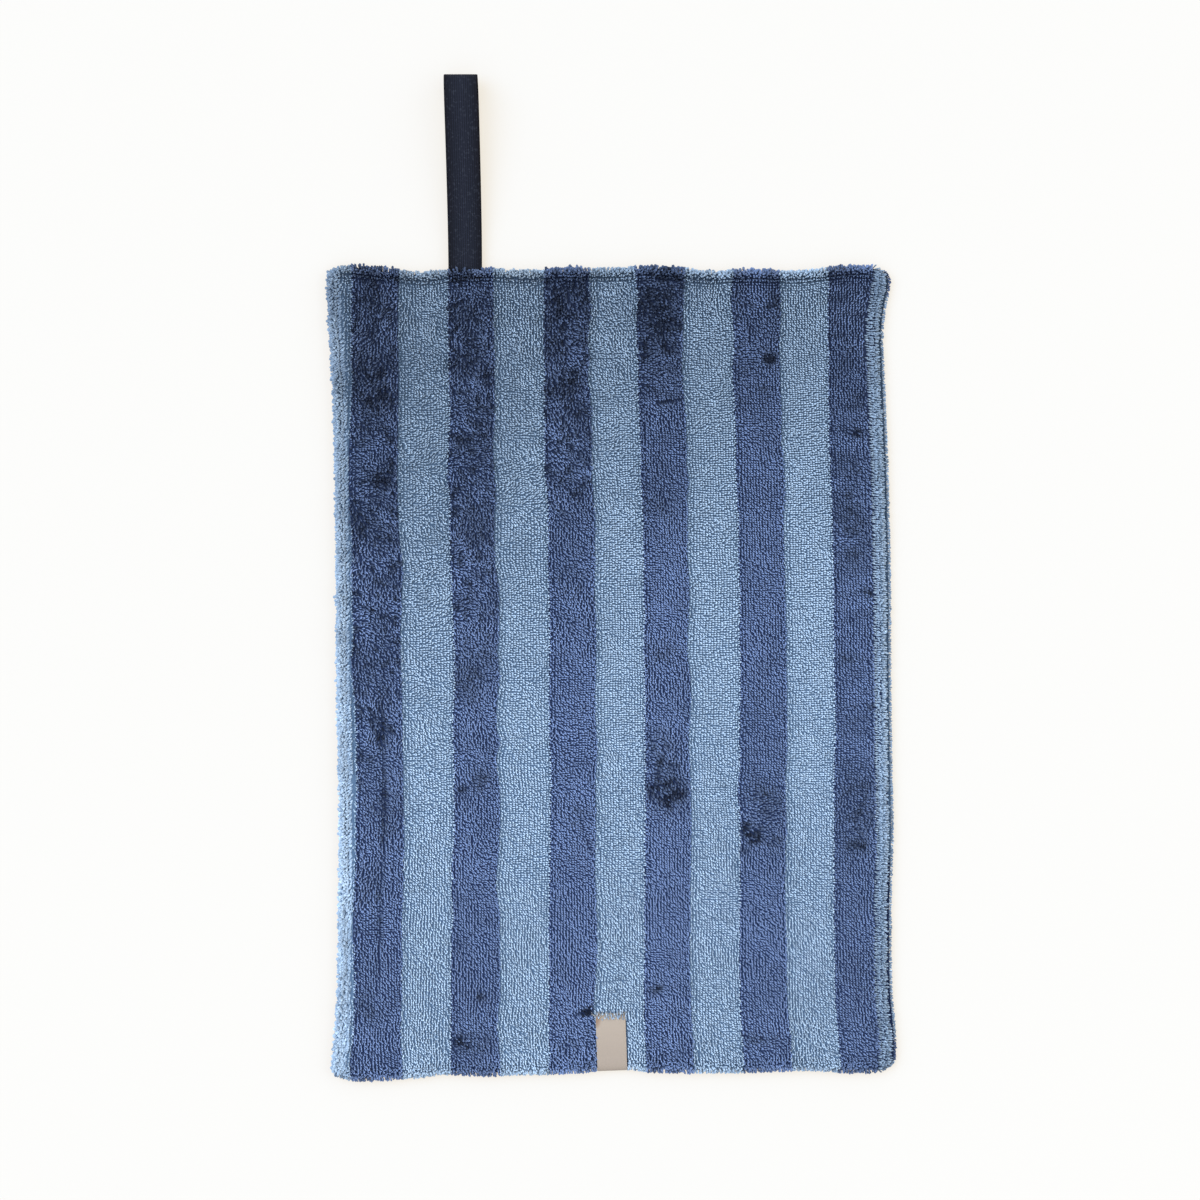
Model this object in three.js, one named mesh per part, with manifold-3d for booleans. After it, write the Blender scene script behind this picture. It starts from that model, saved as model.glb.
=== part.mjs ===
// A striped terry paw towel lying flat: two terry panels sewn together and turned, a tape
// loop to hang it by, and a folded label round the bottom hem.
// Millimetres. +X runs across the stripes, +Y towards the hanging loop, +Z up off the floor.
// The origin is the middle of the underside that the towel lies on.

import * as THREE from "three";
import { mergeVertices } from "three/addons/utils/BufferGeometryUtils.js";
import Module from "manifold-3d";

const wasm = await Module();
wasm.setup();

// Towel
const TOWEL_WIDTH = 346;
const TOWEL_LENGTH = 500;
const CORNER_RADIUS = 9;
const PANEL_THICKNESS = 3.5;
const PIECE_GAP = 0.3;
const SEAM_BACK = PANEL_THICKNESS;
const SEAM_MIDDLE = PANEL_THICKNESS + PIECE_GAP / 2;
const SEAM_FRONT = PANEL_THICKNESS + PIECE_GAP;
const GRID_STEP = 12;

// The front panel stops short of the back one along the right side, where the seam rolls
// to the front, and overhangs it a little along the other three.
const FRONT_INSET = { left: 0, right: 3.2, top: 0, bottom: 0 };
const BACK_INSET = { left: 1.6, right: 0, top: 1.6, bottom: 1.6 };

// Hanging tape
const TAPE_WIDTH = 20.8;
const TAPE_THICKNESS = 1.2;
const TAPE_X = -91;
const TAPE_SEWN_IN = 9;
const TAPE_LEAN = 2.6;
const TAPE_STEPS = 72;
const TAPE_END_UNDER = SEAM_MIDDLE - (TAPE_THICKNESS + PIECE_GAP) / 2;
const TAPE_END_OVER = SEAM_MIDDLE + (TAPE_THICKNESS + PIECE_GAP) / 2;

// Label
const LABEL_WIDTH = 18.4;
const LABEL_THICKNESS = 1;
const LABEL_X = 0.2;
const LABEL_TILT_DEG = 2;
const LABEL_STEPS = 40;

// How far each side stands out from the straight rectangle, along that side.
const LEFT_SIDE = [
  { along: -250, outward: 1.4 },
  { along: -228, outward: 0 },
  { along: -200, outward: -1.9 },
  { along: -140, outward: -3 },
  { along: -72, outward: -3.2 },
  { along: -20, outward: -2 },
  { along: 60, outward: -1.6 },
  { along: 138, outward: -0.6 },
  { along: 178, outward: 0.8 },
  { along: 213, outward: 3.1 },
  { along: 250, outward: 4.4 },
];
const RIGHT_SIDE = [
  { along: -250, outward: 3.4 },
  { along: -232, outward: 3.9 },
  { along: -200, outward: 1.4 },
  { along: -140, outward: 1 },
  { along: -103, outward: 2.1 },
  { along: -60, outward: 1.3 },
  { along: 0, outward: 0.6 },
  { along: 70, outward: 0.2 },
  { along: 140, outward: -1.6 },
  { along: 180, outward: -3.3 },
  { along: 215, outward: -3.9 },
  { along: 250, outward: 1 },
];
const TOP_SIDE = [
  { along: -173, outward: 2.4 },
  { along: -155, outward: 2.8 },
  { along: -136, outward: 0.8 },
  { along: -112, outward: -1.3 },
  { along: -92, outward: 0.6 },
  { along: -75, outward: 1 },
  { along: -48, outward: -0.2 },
  { along: -20, outward: 0.9 },
  { along: 5, outward: 1 },
  { along: 28, outward: 2.3 },
  { along: 64, outward: -0.7 },
  { along: 87, outward: 0.3 },
  { along: 117, outward: -0.5 },
  { along: 154, outward: 3 },
  { along: 173, outward: 2.2 },
];
const BOTTOM_SIDE = [
  { along: -173, outward: 2.2 },
  { along: -150, outward: 2.9 },
  { along: -121, outward: 1.1 },
  { along: -98, outward: -1 },
  { along: -80, outward: -0.3 },
  { along: -50, outward: -0.9 },
  { along: -22, outward: -2.1 },
  { along: 4, outward: -4.4 },
  { along: 24, outward: -2.8 },
  { along: 70, outward: -2 },
  { along: 117, outward: -3.4 },
  { along: 150, outward: -2.2 },
  { along: 173, outward: -2 },
];

// Height of a panel's pile above the seam, as a share of its thickness: a rolled rim, the
// groove that the top stitching pulls in, then the full pile.
const RIM_PROFILE = [
  { inward: 0, share: 0 },
  { inward: 0.4, share: 0.46 },
  { inward: 1.4, share: 0.8 },
  { inward: 3.2, share: 0.98 },
  { inward: 5, share: 0.92 },
  { inward: 6.8, share: 0.7 },
  { inward: 8.8, share: 0.88 },
  { inward: 13, share: 1 },
];

// Soft swells and hollows of the upper face: where the pile rolls over the label's end, the
// pucker beside it, and the places where the cloth lies a little high or low.
const FRONT_SWELLS = [
  { x: 2, y: -203, radiusX: 15, radiusY: 9, height: 1.3 },
  { x: -17, y: -211, radiusX: 12, radiusY: 9, height: -1.1 },
  { x: -120, y: 60, radiusX: 70, radiusY: 90, height: 0.4 },
  { x: -70, y: 205, radiusX: 80, radiusY: 40, height: 0.5 },
  { x: 30, y: -70, radiusX: 60, radiusY: 50, height: -0.4 },
  { x: 90, y: 190, radiusX: 60, radiusY: 60, height: 0.4 },
  { x: 130, y: -30, radiusX: 50, radiusY: 120, height: 0.5 },
  { x: -60, y: -150, radiusX: 90, radiusY: 60, height: 0.4 },
];

// Where the fan of faces over the underside's flat middle starts: away from the origin, so
// that the origin is inside one face.
const FLAT_HUB = { x: 31, y: 47 };

// The tape's middle line from the seam, along the floor, round the fold and back.
const TAPE_PATH = [
  { beyond: -TAPE_SEWN_IN, height: TAPE_END_UNDER },
  { beyond: -2, height: TAPE_END_UNDER },
  { beyond: 6, height: 2.45 },
  { beyond: 16, height: 1.4 },
  { beyond: 28, height: 0.86 },
  { beyond: 44, height: 0.72 },
  { beyond: 70, height: 0.7 },
  { beyond: 94, height: 0.72 },
  { beyond: 106, height: 1 },
  { beyond: 113.5, height: 3 },
  { beyond: 119.2, height: 8.8 },
  { beyond: 115.8, height: 14.8 },
  { beyond: 106, height: 17.2 },
  { beyond: 86, height: 15.6 },
  { beyond: 60, height: 12.2 },
  { beyond: 34, height: 8.4 },
  { beyond: 12, height: 5.3 },
  { beyond: -2, height: TAPE_END_OVER },
  { beyond: -TAPE_SEWN_IN, height: TAPE_END_OVER },
];

// The label's middle line from its upper end, over the front, round the hem and under.
const LABEL_PATH = [
  { inward: 34.5, height: 7.2 },
  { inward: 27, height: 7.3 },
  { inward: 17, height: 7.25 },
  { inward: 9, height: 6.9 },
  { inward: 5, height: 6.85 },
  { inward: 2, height: 6.4 },
  { inward: 0, height: 5.1 },
  { inward: -0.5, height: 3.6 },
  { inward: 0.1, height: 2.1 },
  { inward: 1.8, height: 1 },
  { inward: 4.6, height: 0.66 },
  { inward: 12, height: 0.65 },
  { inward: 33.5, height: 0.65 },
];

// Colour and roughness of each piece.
const FINISHES = {
  back_panel: { color: 0x5f7ba6, roughness: 0.95 },
  front_panel: { color: 0x6c89b3, roughness: 0.95 },
  hanging_loop: { color: 0x262c3b, roughness: 0.7 },
  label: { color: 0xb9b0a8, roughness: 0.55 },
};

// Points closer than this are one point.
const SAME_POINT = 1e-3;

// A table as a function of place: through its rows, and held level past its ends.
function between(Interpolant, rows, placeName, valueName) {
  const places = Float32Array.from(rows, (row) => row[placeName]);
  const values = Float32Array.from(rows, (row) => row[valueName]);
  const curve = new Interpolant(places, values, 1);
  return (place) => curve.evaluate(place)[0];
}

const sideCurve = (rows) => between(THREE.CubicInterpolant, rows, "along", "outward");
const leftOutward = sideCurve(LEFT_SIDE);
const rightOutward = sideCurve(RIGHT_SIDE);
const topOutward = sideCurve(TOP_SIDE);
const bottomOutward = sideCurve(BOTTOM_SIDE);
const rimShareAt = between(THREE.LinearInterpolant, RIM_PROFILE, "inward", "share");

// Lines of the grid over one span: close together over the rim, even between.
function gridLines(span) {
  const rim = RIM_PROFILE.map((row) => row.inward);
  const half = span / 2;
  const flatHalf = half - rim[rim.length - 1];
  const cells = Math.round((2 * flatHalf) / GRID_STEP);
  const lines = rim.map((inward) => inward - half);
  for (let n = 1; n < cells; n += 1) {
    lines.push(-flatHalf + (2 * flatHalf * n) / cells);
  }
  return lines.concat(rim.map((inward) => half - inward).reverse());
}

// A point of the straight rectangle, moved so that its corners are round. Squares about
// the corner's centre become arcs, so distances from the rim stay the same.
function roundedCorner(x, y) {
  const overX = Math.abs(x) - (TOWEL_WIDTH / 2 - CORNER_RADIUS);
  const overY = Math.abs(y) - (TOWEL_LENGTH / 2 - CORNER_RADIUS);
  if (overX <= SAME_POINT || overY <= SAME_POINT) return { x, y };
  const radius = Math.max(overX, overY);
  const eighthTurn = Math.PI / 4;
  const angle =
    overX >= overY
      ? (eighthTurn * overY) / overX
      : 2 * eighthTurn - (eighthTurn * overX) / overY;
  return {
    x: Math.sign(x) * (TOWEL_WIDTH / 2 - CORNER_RADIUS + radius * Math.cos(angle)),
    y: Math.sign(y) * (TOWEL_LENGTH / 2 - CORNER_RADIUS + radius * Math.sin(angle)),
  };
}

// The same point carried out to the towel's uneven sides.
function unevenOutline(point, inset) {
  const shareX = point.x / TOWEL_WIDTH + 0.5;
  const shareY = point.y / TOWEL_LENGTH + 0.5;
  const left = inset.left - leftOutward(point.y);
  const right = rightOutward(point.y) - inset.right;
  const bottom = inset.bottom - bottomOutward(point.x);
  const top = topOutward(point.x) - inset.top;
  return {
    x: point.x + THREE.MathUtils.lerp(left, right, shareX),
    y: point.y + THREE.MathUtils.lerp(bottom, top, shareY),
  };
}

// Height of the swells at a point: each is a bell, nearly level at twice its radius.
function swellAt(swells, x, y) {
  let height = 0;
  for (const swell of swells) {
    const reach = Math.hypot((x - swell.x) / swell.radiusX, (y - swell.y) / swell.radiusY);
    height += swell.height * Math.exp(-reach * reach);
  }
  return height;
}

// One terry panel: a pile face over the whole outline, and a flat inner face at the seam.
// A panel with no swells has a flat middle, closed by a fan of triangles.
function panelGeometry({ seamHeight, facing, inset, swells }) {
  const columns = gridLines(TOWEL_WIDTH);
  const rows = gridLines(TOWEL_LENGTH);
  const rimCells = RIM_PROFILE.length - 1;
  const positions = [];
  const triangles = [];

  const indexAt = (i, j) => j * columns.length + i;
  for (const y of rows) {
    for (const x of columns) {
      const inward = Math.min(TOWEL_WIDTH / 2 - Math.abs(x), TOWEL_LENGTH / 2 - Math.abs(y));
      const share = rimShareAt(inward);
      const place = unevenOutline(roundedCorner(x, y), inset);
      const swell = share * swellAt(swells, place.x, place.y);
      positions.push(place.x, place.y, seamHeight + facing * (share * PANEL_THICKNESS + swell));
    }
  }

  const addTriangle = (a, b, c) => {
    if (facing > 0) triangles.push(a, b, c);
    else triangles.push(a, c, b);
  };
  // Indices round a rectangle of grid lines, anticlockwise from above.
  const loopAround = (firstX, firstY, lastX, lastY) => {
    const loop = [];
    for (let i = firstX; i < lastX; i += 1) loop.push(indexAt(i, firstY));
    for (let j = firstY; j < lastY; j += 1) loop.push(indexAt(lastX, j));
    for (let i = lastX; i > firstX; i -= 1) loop.push(indexAt(i, lastY));
    for (let j = lastY; j > firstY; j -= 1) loop.push(indexAt(firstX, j));
    return loop;
  };
  const addFan = (loop, hub, height, turned) => {
    const centre = positions.length / 3;
    positions.push(hub.x, hub.y, height);
    loop.forEach((corner, n) => {
      const next = loop[(n + 1) % loop.length];
      if (turned) addTriangle(centre, next, corner);
      else addTriangle(centre, corner, next);
    });
  };

  const lastColumn = columns.length - 1;
  const lastRow = rows.length - 1;
  const flatMiddle = swells.length === 0;
  for (let j = 0; j < lastRow; j += 1) {
    for (let i = 0; i < lastColumn; i += 1) {
      const insideX = i >= rimCells && i < lastColumn - rimCells;
      const insideY = j >= rimCells && j < lastRow - rimCells;
      if (flatMiddle && insideX && insideY) continue;
      const [a, b] = [indexAt(i, j), indexAt(i + 1, j)];
      const [c, d] = [indexAt(i + 1, j + 1), indexAt(i, j + 1)];
      addTriangle(a, b, c);
      addTriangle(a, c, d);
    }
  }
  if (flatMiddle) {
    const middle = loopAround(rimCells, rimCells, lastColumn - rimCells, lastRow - rimCells);
    addFan(middle, FLAT_HUB, seamHeight + facing * PANEL_THICKNESS, false);
  }
  addFan(loopAround(0, 0, lastColumn, lastRow), { x: 0, y: 0 }, seamHeight, true);
  return indexedGeometry(positions, triangles);
}

function indexedGeometry(positions, triangles) {
  const geometry = new THREE.BufferGeometry();
  geometry.setAttribute("position", new THREE.Float32BufferAttribute(positions, 3));
  geometry.setIndex(triangles);
  return geometry;
}

// A flat strip whose middle line runs in the YZ plane, its width along X.
function stripGeometry(points, width, thickness, steps) {
  const section = new THREE.Shape();
  section.moveTo(-width / 2, -thickness / 2);
  section.lineTo(width / 2, -thickness / 2);
  section.lineTo(width / 2, thickness / 2);
  section.lineTo(-width / 2, thickness / 2);
  const middleLine = new THREE.CatmullRomCurve3(points);
  return new THREE.ExtrudeGeometry(section, { steps, extrudePath: middleLine });
}

// The towel's top edge where the tape is sewn in, and its bottom edge at the label.
const tapeEdgeY = TOWEL_LENGTH / 2 + topOutward(TAPE_X);
const labelEdgeY = -TOWEL_LENGTH / 2 - bottomOutward(LABEL_X);

// The tape lies a little askew: it leans to the left towards its fold.
function tapeGeometry() {
  const points = TAPE_PATH.map(
    (row) => new THREE.Vector3(0, tapeEdgeY + row.beyond, row.height),
  );
  const geometry = stripGeometry(points, TAPE_WIDTH, TAPE_THICKNESS, TAPE_STEPS);
  const position = geometry.attributes.position;
  const reach = Math.max(...TAPE_PATH.map((row) => row.beyond));
  for (let n = 0; n < position.count; n += 1) {
    const share = THREE.MathUtils.clamp((position.getY(n) - tapeEdgeY) / reach, 0, 1);
    position.setX(n, TAPE_X + position.getX(n) - TAPE_LEAN * share ** 1.5);
  }
  return geometry;
}

function labelGeometry(clearance) {
  const points = LABEL_PATH.map((row) => new THREE.Vector3(0, row.inward, row.height));
  const first = points[0];
  const last = points[points.length - 1];
  points[0] = first.clone().setY(first.y + clearance);
  points[points.length - 1] = last.clone().setY(last.y + clearance);
  return stripGeometry(
    points,
    LABEL_WIDTH + 2 * clearance,
    LABEL_THICKNESS + 2 * clearance,
    LABEL_STEPS,
  )
    .rotateZ(THREE.MathUtils.degToRad(LABEL_TILT_DEG))
    .translate(LABEL_X, labelEdgeY, 0);
}

// The room between the panels for the tape's two sewn ends.
function tapePocketGeometry() {
  const width = TAPE_WIDTH + 2 * PIECE_GAP;
  const depth = 2 * TAPE_SEWN_IN + 2 * PIECE_GAP;
  const height = 2 * TAPE_THICKNESS + 3 * PIECE_GAP;
  const room = new THREE.BoxGeometry(width, depth, height);
  return room.translate(TAPE_X, tapeEdgeY, SEAM_MIDDLE);
}

function solidFrom(geometry) {
  const bare = geometry.clone();
  bare.deleteAttribute("normal");
  bare.deleteAttribute("uv");
  const merged = mergeVertices(bare, SAME_POINT);
  return new wasm.Manifold(
    new wasm.Mesh({
      numProp: 3,
      vertProperties: merged.attributes.position.array,
      triVerts: new Uint32Array(merged.index.array),
    }),
  );
}

function geometryFrom(solid) {
  const mesh = solid.getMesh();
  return indexedGeometry(Array.from(mesh.vertProperties), Array.from(mesh.triVerts));
}

function cutPanel(panel) {
  const cut = solidFrom(panelGeometry(panel))
    .subtract(solidFrom(tapePocketGeometry()))
    .subtract(solidFrom(labelGeometry(PIECE_GAP)));
  return geometryFrom(cut);
}

function namedMesh(name, geometry) {
  const shaded = geometry.index ? geometry.toNonIndexed() : geometry;
  shaded.computeVertexNormals();
  const material = new THREE.MeshStandardMaterial({ ...FINISHES[name], metalness: 0 });
  const mesh = new THREE.Mesh(shaded, material);
  mesh.name = name;
  return mesh;
}

const FRONT_PANEL = {
  seamHeight: SEAM_FRONT,
  facing: 1,
  inset: FRONT_INSET,
  swells: FRONT_SWELLS,
};
const BACK_PANEL = {
  seamHeight: SEAM_BACK,
  facing: -1,
  inset: BACK_INSET,
  swells: [],
};

const towel = new THREE.Group();
towel.add(
  namedMesh("back_panel", cutPanel(BACK_PANEL)),
  namedMesh("front_panel", cutPanel(FRONT_PANEL)),
  namedMesh("hanging_loop", tapeGeometry()),
  namedMesh("label", labelGeometry(0)),
);

export default towel;
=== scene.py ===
# A striped terry paw towel lying flat on a pale floor, seen straight from above.
# Shapes are worked out in millimetres and turned into metres where a mesh is made.
# +X runs across the stripes, +Y towards the hanging loop, +Z up off the floor.

import math

import bpy
import numpy as np
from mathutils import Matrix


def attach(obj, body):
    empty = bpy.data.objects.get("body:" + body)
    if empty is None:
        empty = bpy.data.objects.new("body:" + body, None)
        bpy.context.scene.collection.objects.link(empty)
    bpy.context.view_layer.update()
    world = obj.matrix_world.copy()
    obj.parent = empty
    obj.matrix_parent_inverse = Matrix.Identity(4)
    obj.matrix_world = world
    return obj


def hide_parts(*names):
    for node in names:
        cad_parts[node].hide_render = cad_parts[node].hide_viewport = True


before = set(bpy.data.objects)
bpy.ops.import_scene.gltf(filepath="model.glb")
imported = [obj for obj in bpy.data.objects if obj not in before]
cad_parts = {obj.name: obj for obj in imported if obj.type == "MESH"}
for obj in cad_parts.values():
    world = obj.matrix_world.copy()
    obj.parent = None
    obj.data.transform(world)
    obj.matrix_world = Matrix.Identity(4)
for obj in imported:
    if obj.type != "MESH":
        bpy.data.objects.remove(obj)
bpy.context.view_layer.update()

MM = 0.001
SEED = 4362

# Towel, as in the part's source
TOWEL_WIDTH = 346
TOWEL_LENGTH = 500
CORNER_RADIUS = 9
PANEL_THICKNESS = 3.5
PIECE_GAP = 0.3
SEAM_BACK = PANEL_THICKNESS
SEAM_MIDDLE = PANEL_THICKNESS + PIECE_GAP / 2
SEAM_FRONT = PANEL_THICKNESS + PIECE_GAP
FRONT_INSET = {"left": 0, "right": 3.2, "top": 0, "bottom": 0}
BACK_INSET = {"left": 1.6, "right": 0, "top": 1.6, "bottom": 1.6}

# How far each side stands out from the straight rectangle: (along, outward)
LEFT_SIDE = [
    (-250, 1.4), (-228, 0), (-200, -1.9), (-140, -3), (-72, -3.2), (-20, -2),
    (60, -1.6), (138, -0.6), (178, 0.8), (213, 3.1), (250, 4.4),
]
RIGHT_SIDE = [
    (-250, 3.4), (-232, 3.9), (-200, 1.4), (-140, 1), (-103, 2.1), (-60, 1.3),
    (0, 0.6), (70, 0.2), (140, -1.6), (180, -3.3), (215, -3.9), (250, 1),
]
TOP_SIDE = [
    (-173, 2.4), (-155, 2.8), (-136, 0.8), (-112, -1.3), (-92, 0.6), (-75, 1),
    (-48, -0.2), (-20, 0.9), (5, 1), (28, 2.3), (64, -0.7), (87, 0.3),
    (117, -0.5), (154, 3), (173, 2.2),
]
BOTTOM_SIDE = [
    (-173, 2.2), (-150, 2.9), (-121, 1.1), (-98, -1), (-80, -0.3), (-50, -0.9),
    (-22, -2.1), (4, -4.4), (24, -2.8), (70, -2), (117, -3.4), (150, -2.2), (173, -2),
]

# Soft swells and hollows of the front: (x, y, radius along x, radius along y, height)
FRONT_SWELLS = [
    (2, -203, 15, 9, 1.3), (-17, -211, 12, 9, -1.1), (-120, 60, 70, 90, 0.4),
    (-70, 205, 80, 40, 0.5), (30, -70, 60, 50, -0.4), (90, 190, 60, 60, 0.4),
    (130, -30, 50, 120, 0.5), (-60, -150, 90, 60, 0.4),
]

# The knitted ground under the pile, from the seam round the rolled rim, through the groove
# of the top stitching, and in: (inward from the outline, height above the seam)
GROUND_PROFILE = [
    (2.3, 0.1), (2.0, 0.5), (2.3, 1.0), (3.1, 1.35), (4.4, 1.3), (5.5, 0.85),
    (6.4, 0.35), (7.2, 0.7), (8.4, 1.15), (10.5, 1.4), (13, 1.5),
]
GROUND_HEIGHT = 1.5
GROUND_THICKNESS = 0.5
GROUND_STEP = 8
GROOVE_INWARD = 6.4

# Places read off the photo are in its pixels, so many millimetres each, from the
# pixel over the towel's middle
PHOTO_PIXEL = 0.62
PHOTO_MIDDLE = (612, 673)

# Each dark stripe, from the top down: (height, left edge, right edge) in photo pixels
DARK_STRIPES = [
    [
        (270, 352, 399), (320, 351, 398), (380, 352, 398.5), (430, 350, 398),
        (470, 348.5, 397.5), (510, 350, 397.5), (540, 352, 399.5), (565, 352, 402.5),
        (600, 352, 401.5), (640, 353, 400), (665, 351, 400.5), (690, 354, 401.5),
        (740, 356, 402.5), (820, 356, 403.5), (870, 355.5, 404), (925, 353, 401.5),
        (970, 354, 402), (1010, 354, 401), (1040, 352.5, 400.5), (1065, 350, 402),
    ],
    [
        (270, 448, 493), (330, 447.5, 493.5), (375, 449, 494.5), (420, 449, 494),
        (442, 448.5, 492.5), (478, 446.5, 494.5), (492, 449, 495.5), (520, 449.5, 494),
        (560, 450, 494.5), (582, 451, 498), (640, 453, 498), (652, 453.5, 497),
        (672, 454, 499), (712, 453, 496), (726, 452.5, 496), (738, 452.5, 499),
        (762, 453.5, 496), (790, 454, 499.5), (835, 453, 499.5), (888, 451.5, 496),
        (910, 452.5, 499.5), (945, 451, 499.5), (1000, 451, 499.5), (1026, 450.5, 497),
        (1060, 450, 500),
    ],
    [
        (275, 544, 589), (322, 543.5, 590), (342, 543.5, 586.5), (358, 544, 589),
        (374, 544, 587), (396, 543.5, 590), (440, 543.5, 591.5), (480, 545, 591.5),
        (505, 547, 594), (560, 547.5, 594.5), (600, 548.5, 594.5), (645, 549, 596),
        (710, 548.5, 594.5), (742, 549, 596.5), (780, 550, 595), (820, 549.5, 595.5),
        (870, 549, 594.5), (935, 548.5, 597), (980, 549, 595), (1012, 548.5, 593),
        (1040, 549, 597), (1065, 549, 597.5),
    ],
    [
        (270, 634, 684), (300, 637, 683), (325, 636, 682.5), (345, 636, 682),
        (360, 637, 681.5), (395, 637.5, 683.5), (425, 639, 685.5), (460, 640, 686),
        (480, 640.5, 688), (500, 641, 686.5), (520, 642, 687), (560, 643, 687),
        (580, 643, 689), (620, 643.5, 688), (655, 643.5, 686.5), (672, 644, 690),
        (740, 644, 688.5), (800, 645, 690.5), (850, 644, 690.5), (960, 644, 689.5),
        (1000, 643.5, 690.5), (1040, 644.5, 692.5), (1065, 646, 693.5),
    ],
    [
        (275, 732, 779.5), (300, 730, 780), (325, 732.5, 780), (345, 733, 778.5),
        (362, 732, 779.5), (400, 733, 780.5), (440, 735, 781), (480, 735.5, 784),
        (520, 737, 783), (560, 738, 784), (640, 739, 785.5), (740, 739, 786.5),
        (770, 739, 785.5), (788, 737, 785), (820, 739, 786), (860, 739.5, 785),
        (905, 739, 784.5), (940, 739, 786), (1000, 739.5, 787), (1020, 740, 789),
        (1040, 741.5, 791), (1065, 743.5, 791.5),
    ],
    [
        (275, 828, 875), (345, 827, 875.5), (390, 827.5, 873.5), (440, 828, 876.5),
        (480, 830, 877.5), (520, 831, 879), (600, 832.5, 880), (680, 833.5, 881.5),
        (740, 834, 881.5), (780, 832.5, 880), (820, 833.5, 879.5), (850, 833, 877),
        (870, 833, 880.5), (905, 833, 880), (960, 834, 882), (1000, 834.5, 883.5),
        (1040, 837.5, 886), (1065, 840, 886.5),
    ],
]

# Where the pile is painted dark, as shade deep in upright pile, or stands up in clumps, in
# photo pixels: (x, y, radius along x, radius along y, how dark, how clumped)
PATCHES = [
    (372, 300, 26, 30, 0.25, 0.5), (372, 386, 25, 34, 0.75, 0.95), (360, 432, 14, 22, 0.45, 0.8),
    (378, 478, 14, 10, 0.95, 0.9), (376, 540, 10, 12, 0.55, 0.6), (364, 520, 20, 25, 0.4, 0.4),
    (366, 662, 20, 26, 0.35, 0.1), (380, 722, 6, 40, 0.5, 0.4), (383, 805, 5, 60, 0.45, 0.4),
    (378, 902, 5, 50, 0.35, 0.4), (372, 1005, 22, 16, 0.4, 0.4), (470, 292, 18, 10, 0.4, 0.7),
    (478, 318, 14, 18, 0.55, 0.7), (470, 362, 14, 14, 0.6, 0.8), (484, 410, 10, 6, 0.45, 0.5),
    (462, 440, 9, 7, 0.9, 0.9), (470, 522, 22, 30, 0.3, 0), (475, 670, 22, 30, 0.35, 0),
    (478, 778, 10, 12, 0.5, 0.6), (462, 787, 6, 4, 0.6, 0.6), (480, 995, 6, 6, 0.5, 0.5),
    (460, 1042, 12, 10, 0.75, 0.6), (480, 1040, 20, 14, 0.4, 0.5), (566, 302, 24, 26, 0.75, 0.9),
    (570, 335, 22, 18, 0.7, 0.8), (566, 376, 18, 14, 0.75, 0.9), (560, 480, 10, 12, 0.3, 0.6),
    (576, 815, 12, 14, 0.35, 0.4), (588, 846, 6, 7, 0.6, 0.5), (586, 1010, 8, 5, 0.9, 0.5),
    (568, 1045, 14, 10, 0.3, 0.3), (660, 276, 24, 10, 0.75, 0.8), (654, 300, 22, 18, 0.85, 0.95),
    (664, 324, 20, 12, 1, 1), (644, 350, 13, 14, 0.85, 0.9), (668, 346, 12, 9, 0.7, 0.8),
    (660, 370, 14, 10, 0.3, 0.6), (662, 507, 14, 12, 0.35, 0.5), (660, 650, 20, 14, 0.35, 0.1),
    (664, 763, 17, 11, 0.75, 0.8), (665, 789, 22, 22, 1, 0.95), (657, 988, 9, 6, 0.6, 0.5),
    (773, 305, 9, 18, 0.6, 0.6), (745, 305, 10, 8, 0.35, 0.7), (768, 356, 9, 9, 0.9, 0.7),
    (762, 388, 8, 5, 0.35, 0.3), (752, 831, 17, 12, 1, 0.9), (772, 838, 10, 9, 0.45, 0.5),
    (762, 802, 24, 26, 0.35, 0.7),
    (742, 848, 8, 5, 0.6, 0.6), (760, 1037, 20, 8, 0.4, 0.4), (850, 345, 12, 8, 0.3, 0.3),
    (858, 400, 12, 8, 0.4, 0.3), (856, 432, 9, 5, 0.6, 0.4), (852, 470, 12, 8, 0.4, 0.3),
    (850, 495, 14, 6, 0.35, 0.3), (870, 590, 10, 6, 0.55, 0.3), (848, 655, 9, 5, 0.5, 0.3),
    (862, 706, 16, 4, 0.5, 0.3), (846, 790, 8, 5, 0.4, 0.3), (858, 845, 14, 10, 0.5, 0.5),
    (858, 806, 22, 40, 0.35, 0.5), (853, 528, 20, 40, 0.35, 0.2), (660, 752, 22, 26, 0.45, 0.7),
]

# Lines along which the pile parts, in photo pixels: (x, y, to x, to y, reach, how deep)
PARTINGS = [
    (656, 402, 683, 398, 2.5, 1), (574, 1014, 595, 1006, 4, 1), (600, 981, 625, 978, 3, 0.6),
    (577, 806, 584, 836, 3, 0.5), (584, 836, 592, 852, 3, 0.6), (380, 700, 384, 820, 5, 0.5),
    (384, 820, 377, 990, 5, 0.4), (345, 905, 351, 1060, 3, 0.5),
]

# Tape
TAPE_WIDTH = 20.8
TAPE_THICKNESS = 1.0
TAPE_X = -91
# How far to the left of its root the tape's fold lies
TAPE_LEAN = 2.6

# Label
LABEL_WIDTH = 18.4
LABEL_X = 0.2
LABEL_TILT = math.radians(2)
LABEL_THICKNESS = 0.6
# How far in from the hem the label lies on the pile
LABEL_REACH = 33.6


def eased(t):
    """A share from 0 to 1, slow at both ends."""
    return t * t * (3 - 2 * t)


def smooth_step(low, high, x):
    """0 at low, 1 at high, and level at both."""
    return eased(np.clip((x - low) / (high - low), 0, 1))


def blend(first, second, weight):
    return first * (1 - weight) + second * weight


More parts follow.
